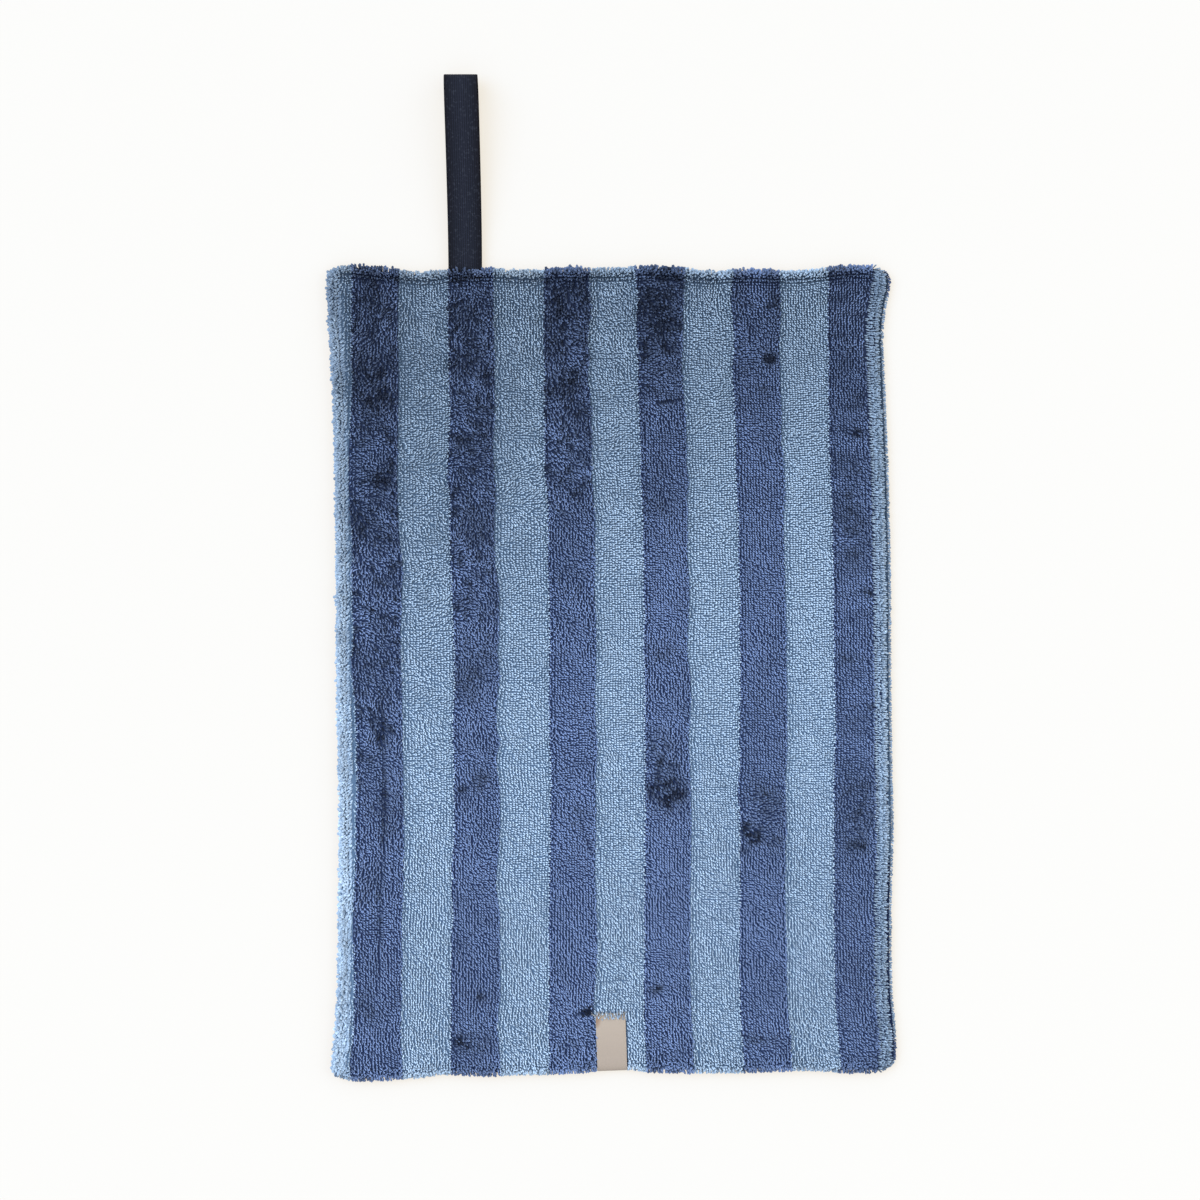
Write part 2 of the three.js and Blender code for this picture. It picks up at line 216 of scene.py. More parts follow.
def smooth_curve(rows):
    """A smooth function through rows of (place, value), level past its ends."""
    place, value = np.array(rows, float).T
    steps = np.diff(value) / np.diff(place)
    slope = np.concatenate(([0], (steps[:-1] + steps[1:]) / 2, [0]))

    def at(x):
        x = np.clip(x, place[0], place[-1])
        n = np.clip(np.searchsorted(place, x) - 1, 0, len(place) - 2)
        span = place[n + 1] - place[n]
        t = (x - place[n]) / span
        start = t * (1 - t) ** 2 * span * slope[n]
        end = -t * t * (1 - t) * span * slope[n + 1]
        return value[n] + (value[n + 1] - value[n]) * eased(t) + start + end

    return at


left_outward = smooth_curve(LEFT_SIDE)
right_outward = smooth_curve(RIGHT_SIDE)
top_outward = smooth_curve(TOP_SIDE)
bottom_outward = smooth_curve(BOTTOM_SIDE)


FIELD_CELLS = 256
# Fields are turned by the angle with this cosine and sine, so that their cells don't line
# up with the cloth's rows
FIELD_COSINE = 0.92
FIELD_SINE = 0.39


def random_field(rng, size):
    """A smooth random function of place, from -1 to 1, with features about size across."""
    table = rng.uniform(-1, 1, (FIELD_CELLS, FIELD_CELLS))

    def at(x, y):
        u = (FIELD_COSINE * x + FIELD_SINE * y) / size + FIELD_CELLS / 2
        v = (FIELD_COSINE * y - FIELD_SINE * x) / size + FIELD_CELLS / 2
        i, j = np.floor(u).astype(int), np.floor(v).astype(int)
        a, b = eased(u - i), eased(v - j)
        i, j = i % FIELD_CELLS, j % FIELD_CELLS
        i2, j2 = (i + 1) % FIELD_CELLS, (j + 1) % FIELD_CELLS
        low = blend(table[i, j], table[i2, j], a)
        high = blend(table[i, j2], table[i2, j2], a)
        return blend(low, high, b)

    return at


def unit(v):
    return v / np.maximum(np.linalg.norm(v, axis=-1, keepdims=True), 1e-9)


# The cloth's own coordinates run from seam to seam over the rolled rims: across and along,
# in millimetres from the middle.
ground_inward, ground_height = np.array(GROUND_PROFILE, float).T
ground_arc = np.concatenate(
    ([0], np.cumsum(np.hypot(np.diff(ground_inward), np.diff(ground_height))))
)
HALF_ACROSS = TOWEL_WIDTH / 2 - ground_inward[-1] + ground_arc[-1]
HALF_ALONG = TOWEL_LENGTH / 2 - ground_inward[-1] + ground_arc[-1]
# Where the groove of the top stitching is, from the seam along the cloth
GROOVE_ARC = float(np.interp(GROOVE_INWARD, ground_inward[3:], ground_arc[3:]))


def inward_of(arc):
    """How far in from the outline a place is, given how far it is from the seam."""
    past_rim = np.maximum(arc - ground_arc[-1], 0)
    return np.interp(arc, ground_arc, ground_inward) + past_rim


def rounded_corner(x, y):
    """A place of the square-cornered outline, moved in to the rounded one."""
    over_x = np.abs(x) - (TOWEL_WIDTH / 2 - CORNER_RADIUS)
    over_y = np.abs(y) - (TOWEL_LENGTH / 2 - CORNER_RADIUS)
    at_corner = (over_x > 0) & (over_y > 0)
    radius = np.maximum(over_x, over_y)
    safe = np.where(at_corner, radius, 1)
    angle = np.where(
        over_x >= over_y,
        math.pi / 4 * over_y / safe,
        math.pi / 2 - math.pi / 4 * over_x / safe,
    )
    round_x = np.sign(x) * (TOWEL_WIDTH / 2 - CORNER_RADIUS + radius * np.cos(angle))
    round_y = np.sign(y) * (TOWEL_LENGTH / 2 - CORNER_RADIUS + radius * np.sin(angle))
    return np.where(at_corner, round_x, x), np.where(at_corner, round_y, y)


def uneven_outline(x, y, inset):
    """A place of the straight-sided towel, moved to fit its uneven sides."""
    share_x = x / TOWEL_WIDTH + 0.5
    share_y = y / TOWEL_LENGTH + 0.5
    left = inset["left"] - left_outward(y)
    right = right_outward(y) - inset["right"]
    bottom = inset["bottom"] - bottom_outward(x)
    top = top_outward(x) - inset["top"]
    return x + left + (right - left) * share_x, y + bottom + (top - bottom) * share_y


def swell_at(swells, x, y):
    height = np.zeros_like(x)
    for centre_x, centre_y, radius_x, radius_y, rise in swells:
        reach = ((x - centre_x) / radius_x) ** 2 + ((y - centre_y) / radius_y) ** 2
        height += rise * np.exp(-reach)
    return height


FRONT = {"seam": SEAM_FRONT, "facing": 1, "inset": FRONT_INSET, "swells": FRONT_SWELLS}
BACK = {"seam": SEAM_BACK, "facing": -1, "inset": BACK_INSET, "swells": []}


def ground_point(panel, across, along):
    """Where a place in the cloth lies."""
    in_x = HALF_ACROSS - np.abs(across)
    in_y = HALF_ALONG - np.abs(along)
    x = np.sign(across) * (TOWEL_WIDTH / 2 - inward_of(in_x))
    y = np.sign(along) * (TOWEL_LENGTH / 2 - inward_of(in_y))
    height = np.interp(np.minimum(in_x, in_y), ground_arc, ground_height)
    x, y = uneven_outline(*rounded_corner(x, y), panel["inset"])
    swell = height / GROUND_HEIGHT * swell_at(panel["swells"], x, y)
    return np.stack([x, y, panel["seam"] + panel["facing"] * (height + swell)], axis=-1)


def ground_frame(panel, across, along, step=0.5):
    """The cloth's own directions at a place, and the direction its pile stands in."""
    def beside(d_across, d_along):
        return ground_point(
            panel,
            np.clip(across + d_across, -HALF_ACROSS, HALF_ACROSS),
            np.clip(along + d_along, -HALF_ALONG, HALF_ALONG),
        )

    def slope(d_across, d_along):
        return unit(beside(d_across, d_along) - beside(-d_across, -d_along))

    side, up = slope(step, 0), slope(0, step)
    out = unit(np.cross(side, up)) * panel["facing"]
    return side, up, out


def mesh_piece(name, points, faces, material, uv=None):
    """A mesh object from points in millimetres and faces that all have as many corners."""
    mesh = bpy.data.meshes.new(name)
    mesh.vertices.add(len(points))
    mesh.vertices.foreach_set("co", (points * MM).astype(np.float32).ravel())
    mesh.loops.add(faces.size)
    mesh.loops.foreach_set("vertex_index", faces.astype(np.int32).ravel())
    mesh.polygons.add(len(faces))
    starts = np.arange(0, faces.size, faces.shape[1], dtype=np.int32)
    mesh.polygons.foreach_set("loop_start", starts)
    mesh.polygons.foreach_set("use_smooth", np.ones(len(faces), bool))
    if uv is not None:
        layer = mesh.uv_layers.new(name="OFBake")
        layer.data.foreach_set("uv", uv[faces.ravel()].astype(np.float32).ravel())
    mesh.update(calc_edges=True)
    mesh.validate()
    mesh.materials.append(material)
    piece = bpy.data.objects.new(name, mesh)
    bpy.context.scene.collection.objects.link(piece)
    return piece


# Materials


class Nodes:
    """A new material's node tree, with short calls to add and join its nodes."""

    def __init__(self, name):
        self.material = bpy.data.materials.new(name)
        self.material.use_nodes = True
        self.tree = self.material.node_tree
        self.shader = self.tree.nodes["Principled BSDF"]

    def add(self, kind, **settings):
        node = self.tree.nodes.new(kind)
        for key, value in settings.items():
            setattr(node, key, value)
        return node

    def join(self, out, into):
        self.tree.links.new(out, into)

    def math(self, operation, first, second=None, third=None):
        node = self.add("ShaderNodeMath", operation=operation)
        for socket, value in zip(node.inputs, (first, second, third), strict=False):
            if value is None:
                continue
            if isinstance(value, (int, float)):
                socket.default_value = value
            else:
                self.join(value, socket)
        return node.outputs[0]

    def mix(self, factor, first, second, blend_type="MIX"):
        node = self.add("ShaderNodeMix", data_type="RGBA", blend_type=blend_type)
        # Of the node's sockets, 0 is the factor and 6 and 7 are the two colours
        for index, value in ((0, factor), (6, first), (7, second)):
            if isinstance(value, bpy.types.NodeSocket):
                self.join(value, node.inputs[index])
            else:
                node.inputs[index].default_value = value
        return node.outputs[2]

    def ramp(self, factor, stops):
        """A colour ramp through stops of (place, colour)."""
        node = self.add("ShaderNodeValToRGB")
        elements = node.color_ramp.elements
        while len(elements) < len(stops):
            elements.new(0.5)
        for element, (place, colour) in zip(elements, stops, strict=True):
            element.position = place
            element.color = colour
        self.join(factor, node.inputs[0])
        return node.outputs[0]

    def wave(self, value, count):
        """A sine wave, so many waves to a value of 1."""
        return self.math("SINE", self.math("MULTIPLY", value, 2 * math.pi * count))

    def flat_place(self):
        """The two coordinates of the piece's own map."""
        uv = self.add("ShaderNodeUVMap", uv_map="OFBake")
        split = self.add("ShaderNodeSeparateXYZ")
        self.join(uv.outputs[0], split.inputs[0])
        return split.outputs[0], split.outputs[1]

    def strip_place(self):
        """(across, off its middle, along) on a strip, whose two faces share one map side by
        side."""
        both_faces, along = self.flat_place()
        across = self.math("FRACT", self.math("MULTIPLY", both_faces, 2))
        return across, self.math("ABSOLUTE", self.math("SUBTRACT", across, 0.5)), along

    def texture(self, kind, scale, **settings):
        """A texture node of the given scale that keeps to the piece."""
        node = self.add(kind, **settings)
        node.inputs["Scale"].default_value = scale
        place = self.add("ShaderNodeTexCoord")
        self.join(place.outputs["Object"], node.inputs["Vector"])
        return node

    def bump(self, height, strength, distance):
        node = self.add("ShaderNodeBump")
        node.inputs["Strength"].default_value = strength
        node.inputs["Distance"].default_value = distance
        self.join(height, node.inputs["Height"])
        self.join(node.outputs[0], self.shader.inputs["Normal"])

    def finish(self, colour, roughness, specular):
        """Sets the surface. colour is a socket or a colour."""
        base = self.shader.inputs["Base Color"]
        if isinstance(colour, bpy.types.NodeSocket):
            self.join(colour, base)
        else:
            base.default_value = colour
        self.shader.inputs["Roughness"].default_value = roughness
        self.shader.inputs["Specular IOR Level"].default_value = specular
        return self.material


def linear(red, green, blue):
    """A screen colour, 0 to 255, as the linear colour that Blender's sockets take."""
    def one(value):
        share = value / 255
        return share / 12.92 if share <= 0.04045 else ((share + 0.055) / 1.055) ** 2.4

    return (one(red), one(green), one(blue), 1.0)


def grey(level):
    return (level, level, level, 1)


def scaled(colour, factor):
    return tuple(channel * factor for channel in colour[:3]) + (1.0,)


# Pile colours: the tip of a bright tuft, and of a dull one
LIGHT_BRIGHT = linear(178, 206, 238)
LIGHT_DULL = linear(75, 92, 116)
DARK_BRIGHT = linear(109, 132, 178)
DARK_DULL = linear(19, 25, 39)
# How much of its tip's colour a tuft has along its length: a bright tuft's, and a dull one's. The
# darker roots are painted shade deep in the pile
LIGHT_SHARES = (
    [(0, 0.34), (0.3, 0.64), (0.6, 0.84), (1, 0.9)],
    [(0, 0.4), (0.3, 0.72), (0.6, 0.93), (1, 1)],
)
DARK_SHARES = (
    [(0, 0.42), (0.3, 0.7), (0.6, 0.96), (1, 1.02)],
    [(0, 0.35), (0.3, 0.7), (0.6, 0.95), (1, 1.1)],
)


def pile_material(name, bright, dull, shares):
    """The map's first coordinate is how bright a tuft is, its second the place along it. Towards
    the root the colour darkens: painted shade.
    """
    nodes = Nodes(name)
    tone, along = nodes.flat_place()
    bright_ramp, dull_ramp = (
        nodes.ramp(along, [(at, scaled(tip, share)) for at, share in rows])
        for tip, rows in zip((bright, dull), shares, strict=True)
    )
    return nodes.finish(nodes.mix(tone, dull_ramp, bright_ramp), roughness=0.9, specular=0.06)


def ground_material(name):
    """The knitted ground: striped like its pile, and painted darker, as the shade between the
    tufts.
    """
    nodes = Nodes(name)
    across, along = nodes.flat_place()
    phase = nodes.math("FRACT", nodes.math("MULTIPLY", across, STRIPE_MAP_SPAN))
    light = nodes.math("GREATER_THAN", phase, 0.5)
    weave = nodes.texture("ShaderNodeTexWave", 300, wave_type="BANDS", bands_direction="X")
    weave.inputs["Distortion"].default_value = 3
    knit = weave.outputs["Fac"]
    dark = nodes.mix(knit, linear(24, 37, 68), linear(34, 50, 86))
    pale = nodes.mix(knit, linear(62, 84, 112), linear(78, 102, 132))
    striped = nodes.mix(light, dark, pale)
    # Darker towards the top: painted shade, like the pile's there
    painted_shade_to_top = nodes.ramp(along, [(0.4, grey(1)), (0.95, grey(0.5))])
    nodes.bump(knit, strength=0.5, distance=0.0003)
    shaded = nodes.mix(1, striped, painted_shade_to_top, "MULTIPLY")
    return nodes.finish(shaded, roughness=0.9, specular=0.15)


def plain_material(name, colour, roughness):
    return Nodes(name).finish(colour, roughness, specular=0.15)


# Stripes

# The map's first coordinate grows by 1 over this many pairs of stripes
STRIPE_MAP_SPAN = 8
SIDE_STRIPE_WIDTH = 29
STRIPES = 2 * len(DARK_STRIPES) + 1


def photo_pixel(x, y):
    """The photo pixel over a place."""
    return PHOTO_MIDDLE[0] + x / PHOTO_PIXEL, PHOTO_MIDDLE[1] - y / PHOTO_PIXEL


def stripe_edges(y):
    """All edges of the dark stripes at heights y, left to right, one row each."""
    _, height = photo_pixel(0, y)
    edges = []
    for left_edge, right_edge in edge_curves:
        edges += [left_edge(height), right_edge(height)]
    return (np.array(edges) - PHOTO_MIDDLE[0]) * PHOTO_PIXEL


edge_curves = [
    (
        smooth_curve([(height, left) for height, left, _ in stripe]),
        smooth_curve([(height, right) for height, _, right in stripe]),
    )
    for stripe in DARK_STRIPES
]


def stripe_spans(y):
    """Where each stripe starts and ends at heights y, left to right; every other is dark."""
    edges = stripe_edges(y)
    starts = np.vstack([edges[:1] - SIDE_STRIPE_WIDTH, edges])
    ends = np.vstack([edges, edges[-1:] + SIDE_STRIPE_WIDTH])
    return starts, ends


def stripe_phase(x, y):
    """Grows by a half across each stripe: whole numbers at the dark stripes' left edges."""
    starts, ends = stripe_spans(y)
    return (np.clip((x - starts) / (ends - starts), 0, 1).sum(axis=0) - 1) / 2


def place_in_stripe(stripe, share, y):
    """x of a place that is a share of the way across its stripe, at heights y."""
    starts, ends = stripe_spans(y)
    start = np.take_along_axis(starts, stripe[None], axis=0)[0]
    end = np.take_along_axis(ends, stripe[None], axis=0)[0]
    return start + (end - start) * share


def is_dark(x, y):
    return (stripe_spans(y)[0] < x).sum(axis=0) % 2 == 0


# Ground cloth


def cloth_lines(half):
    """Places of a cloth grid's lines: close together over the rim, even between."""
    inner = half - ground_arc[-1]
    cells = round(2 * inner / GROUND_STEP)
    middle = np.linspace(-inner, inner, cells + 1)
    return np.concatenate((ground_arc[:-1] - half, middle, half - ground_arc[:-1][::-1]))


def grid_faces(columns, rows):
    """Quads of a grid of points, stored row by row."""
    corner = np.arange(columns - 1)[None, :] + columns * np.arange(rows - 1)[:, None]
    corner = corner.ravel()
    return np.stack([corner, corner + 1, corner + columns + 1, corner + columns], axis=-1)


def ground_cloth(name, panel, material, stripe_shift):
    """A panel's knitted ground, a thin sheet. stripe_shift gives how far its stripes stand
    off the front's at heights y."""
    across, along = np.meshgrid(cloth_lines(HALF_ACROSS), cloth_lines(HALF_ALONG))
    points = ground_point(panel, across.ravel(), along.ravel())
    faces = grid_faces(across.shape[1], across.shape[0])
    if panel["facing"] < 0:
        faces = faces[:, ::-1]
    phase = stripe_phase(points[:, 0] + stripe_shift(points[:, 1]), points[:, 1])
    uv = np.stack(
        [(phase + 1) / STRIPE_MAP_SPAN, along.ravel() / (2 * HALF_ALONG) + 0.5], axis=-1
    )
    cloth = mesh_piece(name, points, faces, material, uv)
    solid = cloth.modifiers.new("thickness", "SOLIDIFY")
    solid.thickness = GROUND_THICKNESS * MM
    solid.offset = -1
    return cloth


# Pile

# The front's tufts stand in columns, so many to a light or dark stripe, and rows this far
# apart
LIGHT_COLUMNS = 18
DARK_COLUMNS = 17
FRONT_ROW_PITCH = 1.42
BACK_PITCH = 2.5
BACK_RIM_PITCH = 1.2
TUFT_LENGTH = 2.35
TUFT_HALF_WIDTH = 0.42
TUFT_HALF_DEPTH = 0.36
# A tuft's body takes this share of its length; its tip bends by so many radians more
TUFT_BODY = 0.8
TUFT_BEND = 0.4
# A root's width, as a share of its body's
ROOT_SHARE = 0.55
# Places along a tuft that its corners take their colour from: the root ring, the body ring
# and the tip. The two flanks of each ring are darker than its ridge, as painted shade.
FLANK_PAINTED_SHADE = 0.32
CORNER_PAINTED_SHADES = (0.4, 0.02, 0.02, 0.86, FLANK_PAINTED_SHADE, FLANK_PAINTED_SHADE, 0.98)
# The highest place along the ramp that lift can raise a corner to, lessening its painted shade
LIFTED_SHADE = 0.7
# Keeps a tuft's corners apart in the map's first coordinate
TONE_STEP = 0.0012

# Extra tufts that make the rims dense: distances of their rows from the seam, along the
# cloth, at the front's hems, at its sides, and all round the back
FRONT_RIM_ROWS = [0.25, 0.85, 1.6, 2.4, 3.3]
SIDE_RIM_COLUMNS = [*FRONT_RIM_ROWS, 4.3, 5.4, 6.6, 7.9]
BACK_RIM_ROWS = [0.2, 0.7, 1.2, 1.7, 2.3]

# Clumps of tufts: their pitch across and along
CLUMP_CELL = (2.9, 4.6)


def patch_strengths(x, y):
    """How dark, with painted shade, and how clumped the pile is."""
    column, row = photo_pixel(x, y)
    dark, clumped = np.zeros_like(x), np.zeros_like(x)
    for centre_x, centre_y, radius_x, radius_y, darkness, clumping in PATCHES:
        reach = ((column - centre_x) / radius_x) ** 2 + ((row - centre_y) / radius_y) ** 2
        near = np.exp(-(reach**1.3))
        dark = np.maximum(dark, darkness * near)
        clumped = np.maximum(clumped, clumping * near)
    return dark, clumped


def partings_at(x, y):
    """(push away from the nearest parting, as a complex number; how deep in it)."""
    place = np.array(photo_pixel(x, y)).T
    push, deep = np.zeros(len(x), complex), np.zeros(len(x))
    for x1, y1, x2, y2, reach, depth in PARTINGS:
        start, line = np.array([x1, y1]), np.array([x2 - x1, y2 - y1])
        share = np.clip((place - start) @ line / (line @ line), 0, 1)
        off = place - start - share[:, None] * line
        distance = np.hypot(off[:, 0], off[:, 1])
        near = depth * np.exp(-((distance / reach) ** 2))
        away = (off[:, 0] - 1j * off[:, 1]) / np.maximum(distance, 1e-6)
        push += near * away
        deep = np.maximum(deep, depth * np.exp(-((2.2 * distance / reach) ** 2)))
    return push, deep


def clump_field(rng):
    """A function that gives the way from a place to the middle of its clump, complex."""
    shift = rng.uniform(-0.38, 0.38, (2, FIELD_CELLS, FIELD_CELLS))

    def at(x, y):
        u, v = x / CLUMP_CELL[0], y / CLUMP_CELL[1]
        nearest, pull = np.full(x.shape, np.inf), np.zeros(x.shape, complex)
        for step_u in (-1, 0, 1):
            for step_v in (-1, 0, 1):
                i, j = np.floor(u).astype(int) + step_u, np.floor(v).astype(int) + step_v
                cell = i % FIELD_CELLS, j % FIELD_CELLS
                to_u, to_v = i + 0.5 + shift[0][cell] - u, j + 0.5 + shift[1][cell] - v
                distance = np.hypot(to_u, to_v)
                pull = np.where(
                    distance < nearest, to_u * CLUMP_CELL[0] + 1j * to_v * CLUMP_CELL[1], pull
                )
                nearest = np.minimum(nearest, distance)
        return pull, nearest

    return at


LABEL_EDGE_Y = -TOWEL_LENGTH / 2 - float(bottom_outward(LABEL_X))
LABEL_COSINE = math.cos(LABEL_TILT)
LABEL_SINE = math.sin(LABEL_TILT)


def label_place(x, y):
    """The label's own coordinates of a place: across it, and inward from the hem."""
    dx, dy = x - LABEL_X, y - LABEL_EDGE_Y
    return dx * LABEL_COSINE + dy * LABEL_SINE, dy * LABEL_COSINE - dx * LABEL_SINE


def on_towel(points):
    """Points in the label's own coordinates, moved to its place on the hem."""
    x, y, z = points.T
    towel_x = x * LABEL_COSINE - y * LABEL_SINE + LABEL_X
    towel_y = x * LABEL_SINE + y * LABEL_COSINE + LABEL_EDGE_Y
    return np.stack([towel_x, towel_y, z], axis=-1)


def even_places(half, count):
    """Places spread evenly from -half to half."""
    return ((np.arange(count) + 0.5) / count * 2 - 1) * half


def pitched_places(half, pitch):
    return even_places(half, round(2 * half / pitch))


def rim_rows(half, rim_arcs):
    """Rows along both rims, every other one half a step on."""
    rows = np.concatenate([[-(half - arc), half - arc] for arc in rim_arcs])
    return rows, np.repeat(np.arange(len(rim_arcs)) % 2 * 0.5, 2)


def side_rims(rim_arcs, pitch):
    """Places along both sides' rims. The right side's line up across the rim, as ribs."""
    columns, steps = rim_rows(HALF_ACROSS, rim_arcs)
    steps = np.where(columns > 0, 0, steps)
    rows = pitched_places(HALF_ALONG, pitch)
    across, along = np.meshgrid(columns, rows)
    return across.ravel(), (along + steps * pitch).ravel()


# Moving a tuft into its stripe changes the stripe's edges beside it, so it takes rounds
PLACING_ROUNDS = 5


def front_places():
    """(across, along, stripe, share of the way across it) of the front's tufts: columns
    that keep to the stripes, and closer ones along the rims."""
    rows = pitched_places(HALF_ALONG, FRONT_ROW_PITCH)
    hem_rows, hem_steps = rim_rows(HALF_ALONG, FRONT_RIM_ROWS)
    rows, steps = np.concatenate([rows, hem_rows]), np.concatenate([0 * rows, hem_steps])
    columns = [DARK_COLUMNS if n % 2 else LIGHT_COLUMNS for n in range(STRIPES)]
    stripe = np.repeat(np.arange(STRIPES), columns)
    column = np.concatenate([np.arange(count) for count in columns])
    # The outer columns stand close to the stripes' edges
    share = ((column + 0.4 + steps[:, None]) / (np.repeat(columns, columns) - 0.2)).ravel()
    along, stripe = (part.ravel() for part in np.meshgrid(rows, stripe, indexing="ij"))
    across = np.zeros_like(along)
    for _ in range(PLACING_ROUNDS):
        point = ground_point(FRONT, across, along)
        across += place_in_stripe(stripe, share, point[:, 1]) - point[:, 0]
        across = np.clip(across, -HALF_ACROSS, HALF_ACROSS)
    inner = np.abs(across) < HALF_ACROSS - SIDE_RIM_COLUMNS[-1] - 0.6
    rim_across, rim_along = side_rims(SIDE_RIM_COLUMNS, FRONT_ROW_PITCH)
    return (
        np.concatenate([across[inner], rim_across]),
        np.concatenate([along[inner], rim_along]),
        np.concatenate([stripe[inner], np.where(rim_across < 0, 0, STRIPES - 1)]),
        np.concatenate([share[inner], np.full(len(rim_across), 0.5)]),
    )


def back_places(rng):
    """(across, along) of the back's tufts: columns and rows, and closer ones at the rims."""
    columns = pitched_places(HALF_ACROSS, BACK_PITCH)
    rows = pitched_places(HALF_ALONG, BACK_PITCH)
    hem_rows, hem_steps = rim_rows(HALF_ALONG, BACK_RIM_ROWS)
    rim_across, rim_along = side_rims(BACK_RIM_ROWS, BACK_RIM_PITCH)
    across, along = np.meshgrid(columns, np.concatenate([rows, hem_rows]))
    across += np.concatenate([0 * rows, hem_steps])[:, None] * BACK_PITCH
    across = np.concatenate([across.ravel(), rim_across])
    along = np.concatenate([along.ravel(), rim_along])
    jitter = rng.uniform(-0.14, 0.14, (2, len(across))) * BACK_PITCH
    return across + jitter[0], along + jitter[1]


class Roots:
    """Where a panel's tufts grow, and how the cloth lies there."""

    def __init__(self, panel, across, along):
        self.across = np.clip(across, 0.1 - HALF_ACROSS, HALF_ACROSS - 0.1)
        self.along = np.clip(along, 0.1 - HALF_ALONG, HALF_ALONG - 0.1)
        self.count = len(across)
        self.point = ground_point(panel, self.across, self.along)
        self.side, self.up, self.out = ground_frame(panel, self.across, self.along)
        self.x, self.y = self.point[:, 0], self.point[:, 1]
        self.share_x = self.x / TOWEL_WIDTH + 0.5
        self.share_y = self.y / TOWEL_LENGTH + 0.5
        self.from_side = {
            "left": HALF_ACROSS + self.across, "right": HALF_ACROSS - self.across,
            "top": HALF_ALONG - self.along, "bottom": HALF_ALONG + self.along,
        }
        self.arc = np.min(list(self.from_side.values()), axis=0)
        near = {name: np.exp((self.arc - arc) / 2) for name, arc in self.from_side.items()}
        outward = near["right"] - near["left"] + 1j * (near["top"] - near["bottom"])
        self.outward = outward / np.maximum(np.abs(outward), 1e-6)

    def near_side(self, reaches):
        """1 near the sides, 0 away from them. reaches: side -> (full within, none beyond)."""
        weights = [
            smooth_step(none, full, self.from_side[name]) for name, (full, none) in reaches.items()
        ]
        return np.max(weights, axis=0)

    def under_tape(self):
        beside = np.abs(self.x - TAPE_X) < TAPE_WIDTH / 2 + 0.4
        return beside & (self.from_side["top"] < 0.9)


def tuft_mesh(roots, keep, lay, length, width, tone, lift):
    """Points, faces and map of the kept tufts: a root ring, a body ring and a blunt tip,
    without the side that lies on the cloth. lay is how far each tip reaches sideways, in
    millimetres: across + 1j * along. lift lessens the painted shade of roots and flanks."""
    root, out = roots.point[keep], roots.out[keep]
    lay, length, width, tone = lay[keep], length[keep], width[keep], tone[keep]
    way = lay / np.maximum(np.abs(lay), 1e-6)
    lean_way = unit(roots.side[keep] * way.real[:, None] + roots.up[keep] * way.imag[:, None])
    lean = np.arcsin(np.clip(np.abs(lay) / length, 0.05, 0.93))
    cosine, sine = np.cos(lean)[:, None], np.sin(lean)[:, None]
    direction = out * cosine + lean_way * sine
    ridge = out * sine - lean_way * cosine
    flank = np.cross(out, lean_way)
    bent = lean + TUFT_BEND
    tip_way = out * np.cos(bent)[:, None] + lean_way * np.sin(bent)[:, None]
    body = root + direction * (length * TUFT_BODY)[:, None]
    count = len(root)
    points = np.empty((count, 7, 3))
    uv = np.empty((count, 7, 2))
    for k in range(3):
        angle = math.pi / 2 + 2 * math.pi * k / 3
        ring = (
            flank * (math.cos(angle) * TUFT_HALF_WIDTH * width)[:, None]
            + ridge * (math.sin(angle) * TUFT_HALF_DEPTH * width)[:, None]
        )
        points[:, k] = root + ring * ROOT_SHARE
        points[:, 3 + k] = body + ring
    points[:, 6] = body + tip_way * (length * (1 - TUFT_BODY))[:, None]
    for k, along in enumerate(CORNER_PAINTED_SHADES):
        uv[:, k, 0] = tone + TONE_STEP * (k % 3 - 1)
        uv[:, k, 1] = along + max(LIFTED_SHADE - along, 0) * lift[keep]
    pattern = []
    for k in (0, 2):
        n = (k + 1) % 3
        pattern += [(k, n, n + 3), (k, n + 3, k + 3), (k + 3, n + 3, 6)]
    faces = np.array(pattern)[None] + 7 * np.arange(count)[:, None, None]
    return points.reshape(-1, 3), faces.reshape(-1, 3), uv.reshape(-1, 2)


# Values of the light and of the dark stripes' pile
LIGHT_REACH, DARK_REACH = 1.45, 1.6
LIGHT_TONE, DARK_TONE = 0.82, 0.81
# How much less bright the pile is at the top: painted shade, where the pile lies away from the
# light
LIGHT_TOP_SHADE, DARK_TOP_SHADE = 0.48, 0.4
# The ways that the pile lies, in degrees from +X
LIGHT_WAY, DARK_WAY = -14, -47

# The right dark stripe starts at this x, and ends at the hem in the light edge stripe
RIGHT_STRIPE_X = 130
CORNER_X, CORNER_Y = 165, -241


